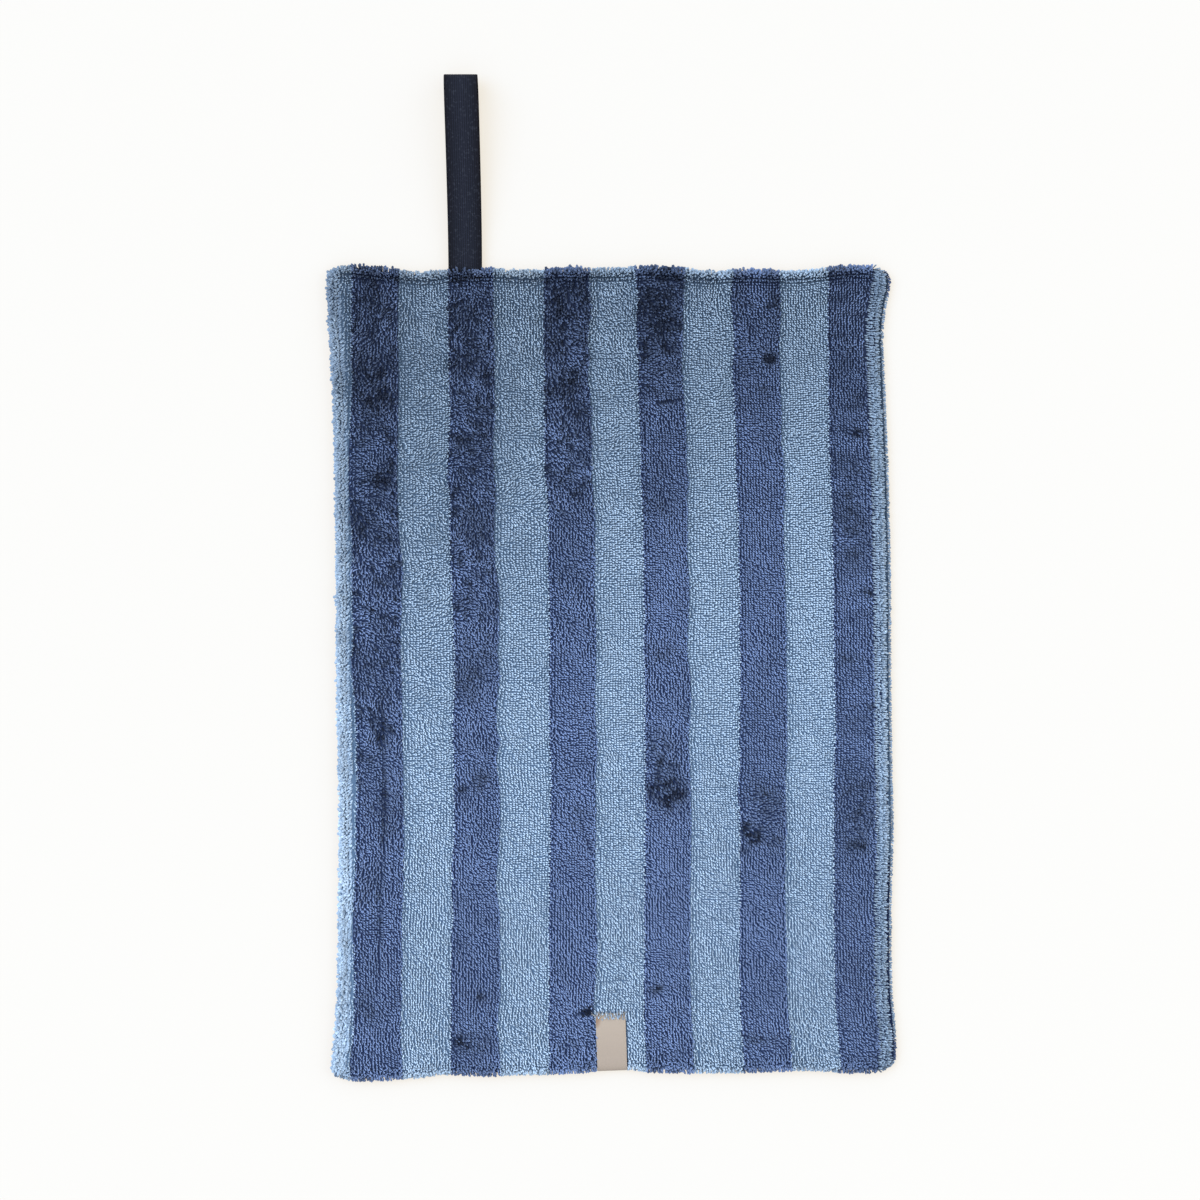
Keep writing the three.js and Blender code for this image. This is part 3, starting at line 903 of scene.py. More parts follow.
class FrontPile:
    """The front's tufts: where they stand, how they lie, and how bright they are. All of
    them are worked out together, in an order that the random draws depend on."""

    def __init__(self):
        self.rng = np.random.default_rng(SEED)
        self.drift = random_field(self.rng, 19)
        self.swirl = random_field(self.rng, 10)
        self.shag_field = random_field(self.rng, 30)
        self.blotch = random_field(self.rng, 11)
        self.fine_blotch = random_field(self.rng, 4.2)
        self.broad = random_field(self.rng, 45)
        self.crevices = random_field(self.rng, 3.4)
        self.clump = clump_field(self.rng)
        self.claws = random_field(self.rng, 1)

        across, along, stripe, share = front_places()
        warp = random_field(self.rng, 11)(across, along)
        self.dark = stripe % 2 == 1
        # The left band's tufts and the hems' stand in no clear rows
        loose = np.maximum(
            smooth_step(14, 9, HALF_ACROSS - np.abs(across)),
            smooth_step(6, 3, HALF_ALONG - np.abs(along)),
        )
        across += 0.4 * warp + self.rng.normal(0, 1, len(across)) * (0.12 + 0.25 * loose)
        along += self.rng.normal(0, 1, len(along)) * (0.08 + 0.25 * loose)
        self.roots = Roots(FRONT, across, along)
        self.x, self.y = self.roots.x, self.roots.y
        # The light edge stripe wraps round the corner at the bottom right
        self.dark &= (self.x < CORNER_X) | (self.y > CORNER_Y)
        self.light = ~self.dark
        self.right_stripe = self.dark & (self.x > RIGHT_STRIPE_X)
        self.edge_right = share > 0.5
        self.to_edge = np.minimum(share, 1 - share) * SIDE_STRIPE_WIDTH
        self.find_shag()
        self.find_sides()
        self.lay_down()
        self.lay_sides()
        self.lay_over_label()
        self.trim()
        self.widen()
        self.colour()

    def noise(self, size=1):
        return self.rng.normal(0, size, self.roots.count)

    def find_shag(self):
        """How clumped the pile is: most at the top left, and in the patches."""
        roots, x, y = self.roots, self.x, self.y
        # The shaggy part reaches down to the hem at the left, not far from the top at the right
        begin = -0.15 + 1.15 * roots.share_x
        shag = 0.12 + 0.6 * smooth_step(begin, begin + 0.6, roots.share_y)
        shag = shag + 0.22 * self.shag_field(x, y)
        shag = np.clip(shag, 0, 1) * np.where(self.dark, 1, 0.65)
        shag = shag * (1 - 0.6 * smooth_step(120, 140, x))
        # Close to the bottom hem it is a little shaggy again
        shag = shag + 0.3 * roots.near_side({"bottom": (16, 44)})
        patch_shade, patch_shag = patch_strengths(x, y)
        self.shag = np.maximum(shag, np.where(self.dark, patch_shag, 0))
        uneven = np.clip(0.9 + 0.9 * self.fine_blotch(x, y), 0, 1.3)
        # Crevices between the clumps are painted dark, as shade where the shaggy pile parts
        crevice = smooth_step(0.1, 0.6, self.crevices(x, y))
        crevice *= 0.75 * smooth_step(0.25, 0.75, self.shag)
        patch = np.maximum(np.where(x > RIGHT_STRIPE_X, 1.5, 1.2) * patch_shade * uneven, crevice)
        self.patch = np.clip(patch, 0, 1) * self.dark

    def find_sides(self):
        """How much a tuft belongs to a band or rim along a side."""
        near = self.roots.near_side
        self.left = near({"left": (8, 13)}) * self.light * smooth_step(0.3, 3.5, self.to_edge)
        self.right = near({"right": (9, 14)}) * self.light * smooth_step(1, 4, self.to_edge)
        self.left_rim = near({"left": (2, 4.5)})
        self.right_rim = near({"right": (3, 5)})
        self.top = near({"top": (4.5, 6.5)})
        self.bottom = near({"bottom": (1.5, 4)})
        self.at_rim = smooth_step(6, 1.5, self.roots.arc) * (1 - 0.75 * near({"bottom": (6, 8)}))

    def lay_down(self):
        """How the pile lies in the stripes."""
        x, y, shag, height = self.x, self.y, self.shag, self.roots.share_y

        # Light stripes lie across, and lower down turn towards the hem; dark ones lie down
        across_way = LIGHT_WAY - 38 * smooth_step(0.5, 0.08, height)
        across_way = across_way - 45 * smooth_step(0.82, 0.94, height)
        edge_turn = np.where(self.edge_right, 8, -12) * smooth_step(5.5, 1.5, self.to_edge)
        steep = smooth_step(60, 130, np.abs(x))
        down_way = DARK_WAY - 53 * smooth_step(0.75, 0.95, height) * steep
        way = np.radians(np.where(self.dark, down_way, across_way + edge_turn))
        border = smooth_step(2.6, 1.4, self.to_edge) * self.dark * self.edge_right
        way = way - math.radians(18) * border
        way = way + math.radians(24) * self.drift(x, y) * (0.6 + shag) * (1 - 0.7 * border)
        way += math.radians(32) * self.swirl(x, y) * (0.6 + 1.3 * shag) * (1 - 0.7 * border)
        way += self.noise() * np.radians(12 + 14 * shag)
        reach = np.where(self.dark, DARK_REACH, LIGHT_REACH) + 0.6 * shag + 0.15 * self.drift(y, x)
        # The stripes' edges are ragged
        at_edge = smooth_step(4, 1.5, self.to_edge)
        way += self.noise() * math.radians(22) * at_edge
        reach = reach * (1 - 0.2 * at_edge) + self.noise() * (0.16 + 0.16 * shag + 0.2 * at_edge)
        lay = np.maximum(reach, 0.3) * np.exp(1j * way)
        self.border = border * (1 - 0.6 * shag)

        pull, from_middle = self.clump(x, y)
        self.clump_rim = smooth_step(0.3, 0.62, from_middle)
        lay = lay + 0.2 * pull * smooth_step(0.25, 0.9, shag)

        push, self.parted = partings_at(x, y)
        self.lay = lay + 1.1 * push

    def lay_sides(self):
        """How the pile lies along the sides."""
        roots, x, y, lay = self.roots, self.x, self.y, self.lay

        # The left band's tufts lie out and down, and low on the towel down along its edge
        low_down = smooth_step(0.35, 0.15, roots.share_y)
        outward = -1.3 - 1.2j + 0.7 * self.swirl(y, x)
        strands = -0.4 - 2.1j + 0.9 * self.drift(y, x)
        lay = blend(lay, blend(outward, strands, low_down), self.left)
        rim = roots.near_side({"left": (0.5, 3), "top": (4.5, 6.5)})
        lay = blend(lay, 1.4 * roots.outward + 0.5 * lay, rim)
        lay -= 0.9 * self.left_rim
        lay = blend(lay, 0.8 * roots.outward + 0.6 * lay, self.bottom)

        # The right band's lie across it
        lay = blend(lay, 2.1 - 0.4j, self.right)
        lay += 0.8 * smooth_step(3, 1, self.to_edge) * self.edge_right * self.right_stripe
        loose = 1 - np.maximum(0.9 * self.right, 0.6 * self.left)
        lay = lay * (1 - 0.4 * self.at_rim * loose)
        lay += (self.noise(0.25) + 1j * self.noise(0.25)) * self.at_rim * loose
        self.lay = lay + 0.9 * self.swirl(x, y) * self.at_rim * self.top

    def lay_over_label(self):
        """The label's upper end is under pile that hangs down across it."""
        across, inward = label_place(self.x, self.y)
        beside = smooth_step(LABEL_WIDTH / 2 + 5, LABEL_WIDTH / 2 - 2, np.abs(across))
        self.over_end = beside * smooth_step(39, 35.5, inward) * (inward > LABEL_REACH)
        hanging = -2.2j + 1.3 * self.swirl(self.y, self.x) + self.noise(0.5)
        self.lay = blend(self.lay, hanging * (1 + self.noise(0.25)), self.over_end)
        self.under_label = (np.abs(across) < LABEL_WIDTH / 2 + 0.5) & (inward < LABEL_REACH)

    def trim(self):
        """How long the tufts are."""
        roots = self.roots
        length = TUFT_LENGTH * (1 + self.noise(0.08) + 0.3 * self.shag + 0.12 * self.dark)
        long_rim = 0.2 * self.top + 0.3 * roots.near_side({"bottom": (4, 8), "right": (4, 8)})
        long_rim -= 0.16
        length *= 1 + self.at_rim * (long_rim + self.noise(0.15))
        # Pile fills the groove of the top stitching, least at the top hem
        open_groove = 0.5 * self.top * smooth_step(-0.4, 0.4, self.blotch(self.x, self.y))
        open_groove *= np.where(self.dark, 1, 0.1)
        dip = np.interp(roots.arc, GROOVE_ARC + np.array([-2, 0, 2]), [0, 1, 0])
        length += dip * (1.25 - 0.9 * open_groove)
        length *= 1 - 0.22 * self.left
        length += (1 + self.noise(0.25)) * self.left_rim
        length += (1.3 + self.noise(0.35)) * self.over_end
        # Here and there a short tuft leaves a small dark gap
        length *= np.where(self.rng.random(roots.count) < 0.1, 0.72, 1)
        self.length = np.where(self.under_label, 0.35 * length, length)
        self.keep = ~roots.under_tape()

    def widen(self):
        """How wide the tufts are. In the patches of painted shade a few bright ones show over
        broad dark ones."""
        self.lit = self.rng.random(self.roots.count) < 0.2
        self.width = 1.28 + self.noise(0.1) - 0.1 * self.shag
        self.width += self.patch * np.where(self.lit, 0.1, 0.9)
        self.width += 0.8 * self.left + 0.7 * self.at_rim * (1 - self.right) + 0.4 * self.bottom
        self.width += 0.3 * self.at_rim * self.top

    def colour(self):
        """How bright the tufts are: 0 for the dull tip's colour, 1 for the bright one's. Part of
        it is painted shade.
        """
        x, y, shag, light = self.x, self.y, self.shag, self.light
        share_x, height = self.roots.share_x, self.roots.share_y
        # Towards the top the pile is darker: painted shade where it lies away from the light
        begin = 0.3 + 0.25 * share_x
        dim = smooth_step(begin, begin + 0.65, height) * (1 - 0.2 * share_x)
        tone = np.where(self.dark, DARK_TONE, LIGHT_TONE) + 0.05 * self.broad(x, y)
        tone -= np.where(self.dark, DARK_TOP_SHADE, LIGHT_TOP_SHADE) * dim
        in_middle = smooth_step(80, 20, np.abs(x)) * smooth_step(0.75, 0.5, height)
        tone += 0.12 * in_middle * self.dark
        tone -= 0.14 * share_x * smooth_step(0.5, 0.1, height) * light
        uneven = np.where(self.dark, 0.22, 0.12) * (0.3 + shag)
        tone += uneven * (self.blotch(x, y) + 0.35 * self.fine_blotch(x, y))
        clawed = self.right_stripe & (y > -40)
        tone += np.where(clawed, 0.18 * self.claws(x / 14, y / 3.8), 0)
        tone -= 0.1 * self.right_stripe
        # The clumps' rims are painted darker, as shade between the clumps
        tone -= 0.1 * self.clump_rim * smooth_step(0.3, 0.8, shag)
        # In the patches the tufts are painted darker, as shade deep in the pile; the few lit ones
        # less so
        tone *= 1 - self.patch * np.where(self.lit, 0.5, 0.97)
        # Along the partings the pile is painted darker, as the shade in the parting
        tone -= 0.4 * self.parted
        tone += self.noise() * (0.08 + 0.06 * light * smooth_step(0.6, 0.3, height))
        tone += 0.1 * self.border + 0.06 * self.at_rim * self.dark
        tone -= 0.14 * self.roots.near_side({"left": (13, 17)}) * light
        tone -= 0.27 * self.right + 0.06 * self.right_rim
        # The light stripes' left edges are darker: painted shade at the boundary
        tone -= 0.12 * smooth_step(1.6, 0.6, self.to_edge) * light * ~self.edge_right
        tone -= 0.26 * self.bottom + 0.12 * self.left * smooth_step(0.3, 0.1, height)
        tone -= 0.3 * self.over_end
        self.tone = np.clip(tone, 0.02, 0.98)

    def piece(self, name, picked, material):
        points, faces, uv = tuft_mesh(
            self.roots, self.keep & picked, self.lay, self.length, self.width, self.tone,
            np.maximum(0.75 * self.left, 0.25 * self.right_rim),
        )
        return mesh_piece(name, points, faces, material, uv)


def back_stripe_shift(y):
    """The back's stripes run a little askew to the front's."""
    return -8 + 0.045 * (y + 145)


# Pile lower than this gives way to the floor
SOFT_HEIGHT = 0.8


def squeezed(z):
    """Height off the floor of pile that the towel's weight presses down."""
    return np.where(z < SOFT_HEIGHT, SOFT_HEIGHT * np.exp((z - SOFT_HEIGHT) / SOFT_HEIGHT), z)


class BackPile:
    """The back's tufts, pressed flat by the towel's weight."""

    def __init__(self):
        rng = np.random.default_rng(SEED + 1)
        drift = random_field(rng, 19)
        swirl = random_field(rng, 8)
        blotch = random_field(rng, 12)
        edge_field = random_field(rng, 9)
        roots = Roots(BACK, *back_places(rng))
        x, y = roots.x, roots.y
        self.roots = roots

        def noise(size):
            return rng.normal(0, size, roots.count)

        dark = is_dark(x + back_stripe_shift(y) + 0.8 * edge_field(x, y), y)
        # Dark yarn shows at the right side only near its two corners
        near_corners = (y > 234) | ((y > -240) & (y < -226))
        self.dark = np.where(x > 164, near_corners, dark)

        way = math.radians(-65) + math.radians(35) * drift(x, y) + math.radians(25) * swirl(x, y)
        way += noise(math.radians(12))
        lay = (2.4 + noise(0.15)) * np.exp(1j * way)
        lay = blend(lay, 1.6 * roots.outward + 0.3 * lay, smooth_step(6, 3, roots.arc))
        at_rim = smooth_step(4.5, 2, roots.arc)
        lay = lay * (1 - 0.6 * at_rim)
        self.lay = lay + (noise(0.45) + 1j * noise(0.45)) * at_rim
        self.length = TUFT_LENGTH * (1.15 - 0.28 * at_rim + noise(0.08))
        self.width = 1.4 - 0.1 * at_rim + noise(0.07)
        tone = 0.62 + 0.12 * blotch(x, y) + noise(0.11)
        self.tone = np.clip(tone, 0.02, 0.98)
        groove = np.abs(roots.arc - GROOVE_ARC) < 0.4
        self.keep = ~groove & ~roots.under_tape()

    def piece(self, name, picked, material):
        points, faces, uv = tuft_mesh(
            self.roots, self.keep & picked, self.lay, self.length, self.width, self.tone,
            0 * self.tone,
        )
        points[:, 2] = squeezed(points[:, 2])
        return mesh_piece(name, points, faces, material, uv)


# Top stitching

STITCH_LENGTH = 3.0
STITCH_PITCH = 3.5
STITCH_HALF_WIDTH = 0.3
STITCH_RISE = 0.05
# How deep a stitch's tips are in the cloth
STITCH_DEPTH = 0.2


def stitch_places():
    """(across, along) of both ends of every stitch, round the groove."""
    half_x, half_y = HALF_ACROSS - GROOVE_ARC, HALF_ALONG - GROOVE_ARC
    firsts, lasts = [], []
    for half, other, upright in ((half_x, half_y, False), (half_y, half_x, True)):
        middle = even_places(half, int(2 * half / STITCH_PITCH))
        for level in (-other, other):
            for ends, reach in ((firsts, -STITCH_LENGTH / 2), (lasts, STITCH_LENGTH / 2)):
                place = [middle + reach, np.full(len(middle), level)]
                ends.append(np.stack(place[::-1] if upright else place, axis=-1))
    return np.concatenate(firsts), np.concatenate(lasts)


# Places along a thread: its tips and its three rings of points
THREAD_SHARES = (0, 0.15, 0.5, 0.85, 1)


def thread_mesh(name, middles, half_width, material):
    """Thin threads, each two tips and three rings of four points. middles: the points of
    their middle lines, one array for each of THREAD_SHARES."""
    run = unit(middles[4] - middles[0])
    flank = unit(np.cross(run, (0, 0, 1)))
    rise = np.cross(flank, run)
    points = np.empty((len(run), 14, 3))
    points[:, 0], points[:, 13] = middles[0], middles[4]
    for ring in range(3):
        for k, (sideways, upward) in enumerate(((1, 0), (0, 1), (-1, 0), (0, -1))):
            offset = flank * sideways + rise * upward
            points[:, 1 + 4 * ring + k] = middles[ring + 1] + offset * half_width
    pattern = []
    for k in range(4):
        n = (k + 1) % 4
        pattern += [(0, 1 + k, 1 + n), (13, 9 + n, 9 + k)]
        for base in (1, 5):
            pattern += [
                (base + n, base + k, base + 4 + n), (base + 4 + n, base + k, base + 4 + k)
            ]
    faces = np.array(pattern)[None] + 14 * np.arange(len(run))[:, None, None]
    return mesh_piece(name, points.reshape(-1, 3), faces.reshape(-1, 3), material)


def stitching(name, panel, material):
    """Short threads that arch over the groove, their tips in the cloth."""
    first, last = stitch_places()
    middles = []
    for share in THREAD_SHARES:
        across, along = blend(first, last, share).T
        _, _, out = ground_frame(panel, across, along)
        rise = STITCH_RISE * math.sin(math.pi * share) - STITCH_DEPTH * (share in (0, 1))
        middles.append(ground_point(panel, across, along) + out * rise)
    return thread_mesh(name, middles, STITCH_HALF_WIDTH, material)


light_pile = pile_material("light_pile", LIGHT_BRIGHT, LIGHT_DULL, LIGHT_SHARES)
dark_pile = pile_material("dark_pile", DARK_BRIGHT, DARK_DULL, DARK_SHARES)
ground_knit = ground_material("ground_knit")

front_cloth = ground_cloth("front_cloth", FRONT, ground_knit, lambda y: 0 * y)
back_cloth = ground_cloth("back_cloth", BACK, ground_knit, back_stripe_shift)

front_pile = FrontPile()
front_parts = []
THIRDS = {"left": (-math.inf, -60), "middle": (-60, 60), "right": (60, math.inf)}
for third, (low, high) in THIRDS.items():
    here = (front_pile.roots.x >= low) & (front_pile.roots.x < high)
    light, dark = here & ~front_pile.dark, here & front_pile.dark
    front_parts.append(front_pile.piece(f"front_light_{third}", light, light_pile))
    front_parts.append(front_pile.piece(f"front_dark_{third}", dark, dark_pile))

back_pile = BackPile()
back_parts = [
    back_pile.piece("back_light", ~back_pile.dark, light_pile),
    back_pile.piece("back_dark", back_pile.dark, dark_pile),
]

thread = plain_material("stitching_thread", linear(88, 108, 140), roughness=0.6)
front_parts.append(stitching("front_stitching", FRONT, thread))
back_parts.append(stitching("back_stitching", BACK, thread))


# Tape

# The tape's middle line from the seam, along the floor, round the fold and back:
# (beyond the hem, height)
TAPE_PATH = [
    (-9, 2.9), (-2, 2.9), (6, 2.45), (16, 1.4), (28, 0.86), (44, 0.72), (70, 0.7),
    (94, 0.72), (106, 1), (113.5, 3), (119.2, 8.8), (115.8, 14.8), (106, 17.2),
    (86, 15.6), (60, 12.2), (34, 8.4), (12, 5.3), (-2, 4.4), (-9, 4.4),
]
TAPE_STEPS = 120
TAPE_RIBS = 16
TAPE_RIB_HEIGHT = 0.07

# The label's middle line from its cut end, over the hem and back: (inward, height)
LABEL_PATH = [
    (35, 6.1), (32, 6.95), (27, 7.25), (17, 7.25), (9, 6.9), (5, 6.85), (2, 6.4), (0, 5.1),
    (-0.5, 3.6), (0.1, 2.1), (1.8, 1), (4.6, 0.66), (12, 0.65), (33.5, 0.65),
]
LABEL_STEPS = 90
# The label is flat; its section has this many stretches across, and raised selvedges
LABEL_STRETCHES = 8
SELVEDGE_RISE = 0.12

# Points of a section for each of its ribs, and of a path for each of its stretches
RIB_POINTS = 3
PATH_POINTS = 40
# Both edges of a strip's map are left free, a share this wide
MAP_MARGIN = 0.02


def smooth_path(points, steps):
    """A centripetal Catmull-Rom line through points, and its length so far, at even steps."""
    points = np.array(points, float)
    first, last = 2 * points[0] - points[1], 2 * points[-1] - points[-2]
    held = np.vstack([first, points, last])
    line = []
    for p0, p1, p2, p3 in zip(held, held[1:], held[2:], held[3:], strict=False):
        d0, d1, d2 = (np.linalg.norm(b - a) ** 0.5 for a, b in ((p0, p1), (p1, p2), (p2, p3)))
        start = ((p1 - p0) / d0 - (p2 - p0) / (d0 + d1) + (p2 - p1) / d1) * d1
        end = ((p2 - p1) / d1 - (p3 - p1) / (d1 + d2) + (p3 - p2) / d2) * d1
        t = np.linspace(0, 1, PATH_POINTS, endpoint=False)[:, None]
        line.append(
            p1 * (2 * t**3 - 3 * t**2 + 1) + start * (t**3 - 2 * t**2 + t)
            + p2 * (3 * t**2 - 2 * t**3) + end * (t**3 - t**2)
        )
    line = np.vstack([*line, points[-1:]])
    run = np.concatenate(([0], np.cumsum(np.linalg.norm(np.diff(line, axis=0), axis=1))))
    even = np.linspace(0, run[-1], steps + 1)
    return np.stack([np.interp(even, run, line[:, k]) for k in range(2)], axis=-1), even


def strip_piece(name, line, run, section, across, material, place):
    """A strip whose middle line runs in the YZ plane, then moved by place. section is a
    closed loop of (across, height off the middle line), its upper side first; across is the
    share of the width, from -0.5 to 0.5, of each of its points."""
    along = np.gradient(line, axis=0)
    along = along / np.linalg.norm(along, axis=1, keepdims=True)
    upward = np.stack([-along[:, 1], along[:, 0]], axis=-1)
    steps, corners = len(line), len(section)
    points = np.empty((steps, corners, 3))
    points[:, :, 0] = section[None, :, 0]
    points[:, :, 1:] = line[:, None] + upward[:, None] * section[None, :, 1:]

    step, corner = np.meshgrid(np.arange(steps - 1), np.arange(corners), indexing="ij")
    step, corner = step.ravel(), corner.ravel()
    after = (corner + 1) % corners
    here, ahead = step * corners, (step + 1) * corners
    faces = np.stack([here + corner, here + after, ahead + after, ahead + corner], axis=-1)
    faces = np.vstack([faces, end_faces(steps, corners)])

    # Both faces of the strip share one map, side by side
    u = (across + 0.5) * (1 - 2 * MAP_MARGIN) + MAP_MARGIN
    under = np.arange(corners) >= corners // 2
    u = np.where(under, 0.5 + u / 2, u / 2)
    v = MAP_MARGIN + (1 - 2 * MAP_MARGIN) * (run / run[-1])
    uv = np.stack(np.meshgrid(u, v), axis=-1)
    return mesh_piece(name, place(points.reshape(-1, 3)), faces, material, uv.reshape(-1, 2))


def end_faces(steps, corners):
    """Quads that close both ends of a strip."""
    quads = []
    for base, turned in ((0, False), ((steps - 1) * corners, True)):
        for k in range(corners // 2 - 1):
            quad = [base + k, base + corners - 1 - k, base + corners - 2 - k, base + k + 1]
            quads.append(quad[::-1] if turned else quad)
    return quads


def strip_section(width, thickness, ribs, rib_height):
    """A flat loop: its upper side from one edge to the other, then its under side back."""
    across = np.linspace(-0.5, 0.5, ribs * RIB_POINTS + 1)
    wave = rib_height * np.cos(2 * math.pi * ribs * (across + 0.5))
    # The edges are thinner
    edge = 1 - 0.55 * smooth_step(0.485, 0.5, np.abs(across))
    upper = np.stack([across * width, (thickness / 2) * edge - rib_height + wave], axis=-1)
    under = np.stack([across * width, -(thickness / 2) * edge + rib_height - wave], axis=-1)
    return np.vstack([upper, under[::-1]]), np.concatenate([across, across[::-1]])


def tape_material():
    nodes = Nodes("tape_weave")
    place, off_middle, along = nodes.strip_place()
    # Lighter along the middle, a painted highlight, and darker towards the selvedges
    body = nodes.ramp(
        off_middle,
        [
            (0, linear(23, 28, 42)), (0.25, linear(18, 23, 36)),
            (0.42, linear(10, 13, 24)), (0.49, linear(5, 6, 13)),
        ],
    )
    cords = nodes.math("MULTIPLY_ADD", nodes.wave(place, TAPE_RIBS), 0.5, 0.5)
    woven = nodes.math("MULTIPLY_ADD", nodes.wave(along, 330), 0.3, cords)
    speck = nodes.texture("ShaderNodeTexNoise", 600)
    bright = nodes.math("GREATER_THAN", speck.outputs[0], 0.6)
    speckled = nodes.mix(nodes.math("MULTIPLY", bright, 0.3), body, linear(50, 56, 70))
    dull = nodes.mix(nodes.math("MULTIPLY", woven, 0.6), speckled, linear(4, 6, 12))
    nodes.bump(woven, strength=0.6, distance=0.0001)
    return nodes.finish(dull, roughness=0.75, specular=0.08)


def build_tape():
    edge_y = TOWEL_LENGTH / 2 + float(top_outward(TAPE_X))
    line, run = smooth_path([(edge_y + beyond, z) for beyond, z in TAPE_PATH], TAPE_STEPS)
    section, across = strip_section(TAPE_WIDTH, TAPE_THICKNESS, TAPE_RIBS, TAPE_RIB_HEIGHT)
    reach = max(beyond for beyond, _ in TAPE_PATH)

    def leaning(points):
        share = np.clip((points[:, 1] - edge_y) / reach, 0, 1)
        points[:, 0] += TAPE_X - TAPE_LEAN * share**1.5
        return points

    return strip_piece("hanging_tape", line, run, section, across, tape_material(), leaning)


FRAYED_THREADS = 34
FRAY_HALF_WIDTH = 0.13
# Heights of the loose threads' roots and tips, and how far they arch up between them
FRAY_ROOT, FRAY_TIP, FRAY_ARCH = 7.3, 7.1, 0.5


def label_fray(material):
    """Loose threads at the label's cut end, most of them at its left."""
    rng = np.random.default_rng(SEED + 2)
    begin = LABEL_WIDTH * (rng.random(FRAYED_THREADS) ** 1.6 - 0.5)
    inward = LABEL_REACH + rng.uniform(-0.6, 0.6, FRAYED_THREADS)
    length = rng.uniform(1.6, 4.2, FRAYED_THREADS)
    way = np.radians(rng.normal(100, 38, FRAYED_THREADS))
    bend = rng.normal(0, 0.5, FRAYED_THREADS)
    middles = []
    for share in THREAD_SHARES:
        arch = math.sin(math.pi * share)
        x = begin + length * share * np.cos(way) + bend * arch
        y = inward + length * share * np.sin(way)
        height = blend(FRAY_ROOT, FRAY_TIP, share) + FRAY_ARCH * arch
        middles.append(on_towel(np.stack([x, y, np.full(FRAYED_THREADS, height)], axis=-1)))
    return thread_mesh("label_fray", middles, FRAY_HALF_WIDTH, material)


def label_material():
    nodes = Nodes("label_satin")
    place, off_middle, along = nodes.strip_place()
    tone = nodes.ramp(
        along,
        [
            (0, linear(134, 123, 112)), (0.08, linear(134, 127, 121)),
            (0.4, linear(127, 120, 115)), (1, linear(123, 116, 112)),
        ],
    )
    # The selvedges are painted lighter: a painted highlight along their raised edges
    selvedge = nodes.math("GREATER_THAN", off_middle, 0.465)
    highlighted_selvedges = nodes.mix(nodes.math("MULTIPLY", selvedge, 0.6), tone, linear(161, 153, 145))
    # The upper left corner is tinted brown
    below = nodes.math("SUBTRACT", along, 0.05)
    near_left = nodes.math("POWER", nodes.math("MULTIPLY", place, 4.5), 2)
    near_top = nodes.math("POWER", nodes.math("MULTIPLY", below, 10), 2)
    from_corner = nodes.math("ADD", near_left, near_top)
    brown_tint = nodes.ramp(from_corner, [(0.2, grey(0.9)), (1, grey(0))])
    corner_tinted = nodes.mix(brown_tint, highlighted_selvedges, linear(108, 88, 74))
    weft = nodes.math("MULTIPLY_ADD", nodes.wave(along, 240), 0.4, 0.5)
    woven = nodes.math("MULTIPLY_ADD", nodes.wave(place, 70), 0.5, weft)
    faint = nodes.mix(nodes.math("MULTIPLY", woven, 0.07), corner_tinted, linear(96, 89, 83))
    nodes.bump(woven, strength=0.15, distance=0.00006)
    return nodes.finish(faint, roughness=0.5, specular=0.25)


def build_label():
    line, run = smooth_path(LABEL_PATH, LABEL_STEPS)
    section, across = strip_section(LABEL_WIDTH, LABEL_THICKNESS, LABEL_STRETCHES, 0)
    selvedge = smooth_step(0.44, 0.49, np.abs(across)) * (section[:, 1] > 0)
    section[:, 1] += SELVEDGE_RISE * selvedge
    return strip_piece("hem_label", line, run, section, across, label_material(), on_towel)


hanging_tape = build_tape()
hem_label = build_label()
frayed_threads = label_fray(plain_material("label_threads", linear(136, 142, 148), 0.7))


# What each piece is

panels = [front_cloth, back_cloth, *front_parts, *back_parts]
for piece in [*panels, hanging_tape, hem_label, frayed_threads]:
    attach(piece, "root")
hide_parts("front_panel")
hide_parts("back_panel")
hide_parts("hanging_loop")
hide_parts("label")


# Floor, lights and camera

# In metres
FLOOR_SIZE = 6.0
CAMERA_HEIGHT = 2.0
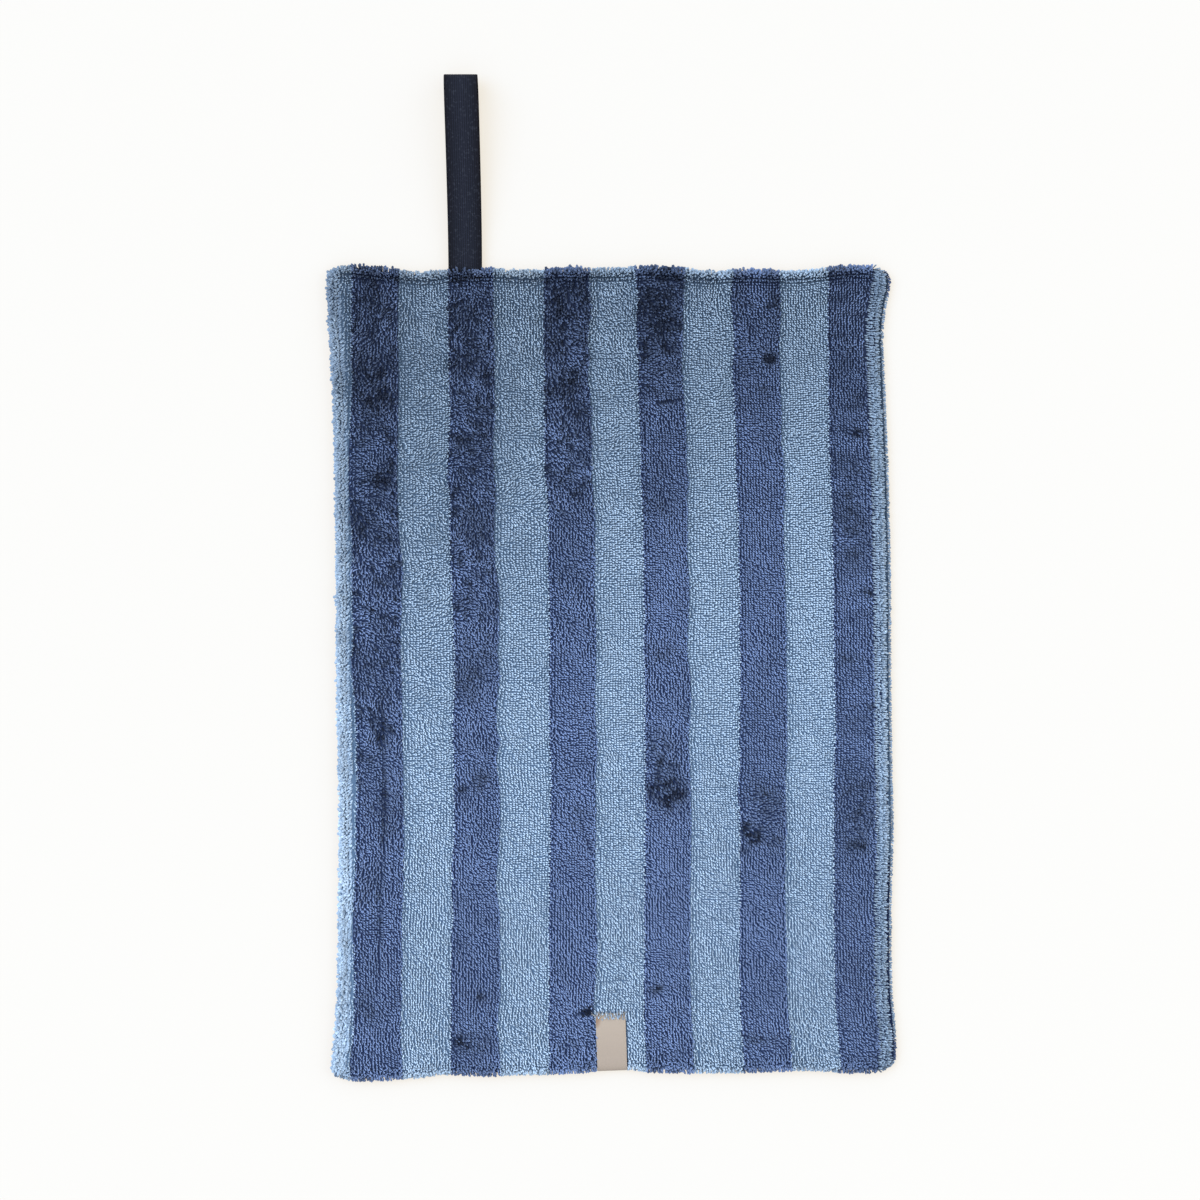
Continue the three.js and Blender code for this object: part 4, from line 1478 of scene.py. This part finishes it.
# The photo is this wide at the height of the seam, and its middle is over this place
FRAME_WIDTH = 0.744
VIEW_CENTRE = (-0.00744, 0.04526)
# The camera's sensor is this wide, in millimetres
SENSOR = 36.0


def build_floor():
    half = FLOOR_SIZE / 2 / MM
    points = np.array([(-half, -half, 0), (half, -half, 0), (half, half, 0), (-half, half, 0)])
    nodes = Nodes("floor_paper")
    speck = nodes.add("ShaderNodeTexNoise")
    speck.inputs["Scale"].default_value = 6
    paper = nodes.mix(speck.outputs[0], (0.085, 0.125, 0.185, 1), (0.095, 0.135, 0.195, 1))
    # A glow stands for the light that a bright studio sends back on to its floor
    nodes.shader.inputs["Emission Color"].default_value = (0.765, 0.68, 0.55, 1)
    nodes.shader.inputs["Emission Strength"].default_value = 1
    material = nodes.finish(paper, roughness=0.8, specular=0.1)
    floor = mesh_piece("floor", points, np.array([[0, 1, 2, 3]]), material)


def build_lights():
    world = bpy.data.worlds.new("studio")
    world.use_nodes = True
    sky = world.node_tree.nodes["Background"]
    sky.inputs["Color"].default_value = (1.0, 0.965, 0.91, 1)
    sky.inputs["Strength"].default_value = 1.5
    bpy.context.scene.world = world
    for name, colour, strength, angle, turn in (
        ("window", (0.84, 0.92, 1.0), 2.75, 50, (0, -40, -24)),
        ("lamp", (1.0, 0.8, 0.57), 1.6, 60, (0, 62, 10)),
    ):
        lamp = bpy.data.lights.new(name, "SUN")
        lamp.color = colour
        lamp.energy = strength
        lamp.angle = math.radians(angle)
        holder = bpy.data.objects.new(name, lamp)
        holder.rotation_euler = [math.radians(part) for part in turn]
        bpy.context.scene.collection.objects.link(holder)


def build_camera():
    lens = bpy.data.cameras.new("camera")
    lens.sensor_width = SENSOR
    lens.lens = SENSOR * (CAMERA_HEIGHT - SEAM_MIDDLE * MM) / FRAME_WIDTH
    lens.clip_end = 50
    camera = bpy.data.objects.new("camera", lens)
    camera.location = (*VIEW_CENTRE, CAMERA_HEIGHT)
    bpy.context.scene.collection.objects.link(camera)
    bpy.context.scene.camera = camera


build_floor()
build_lights()
build_camera()
bpy.context.scene.view_settings.view_transform = "Standard"
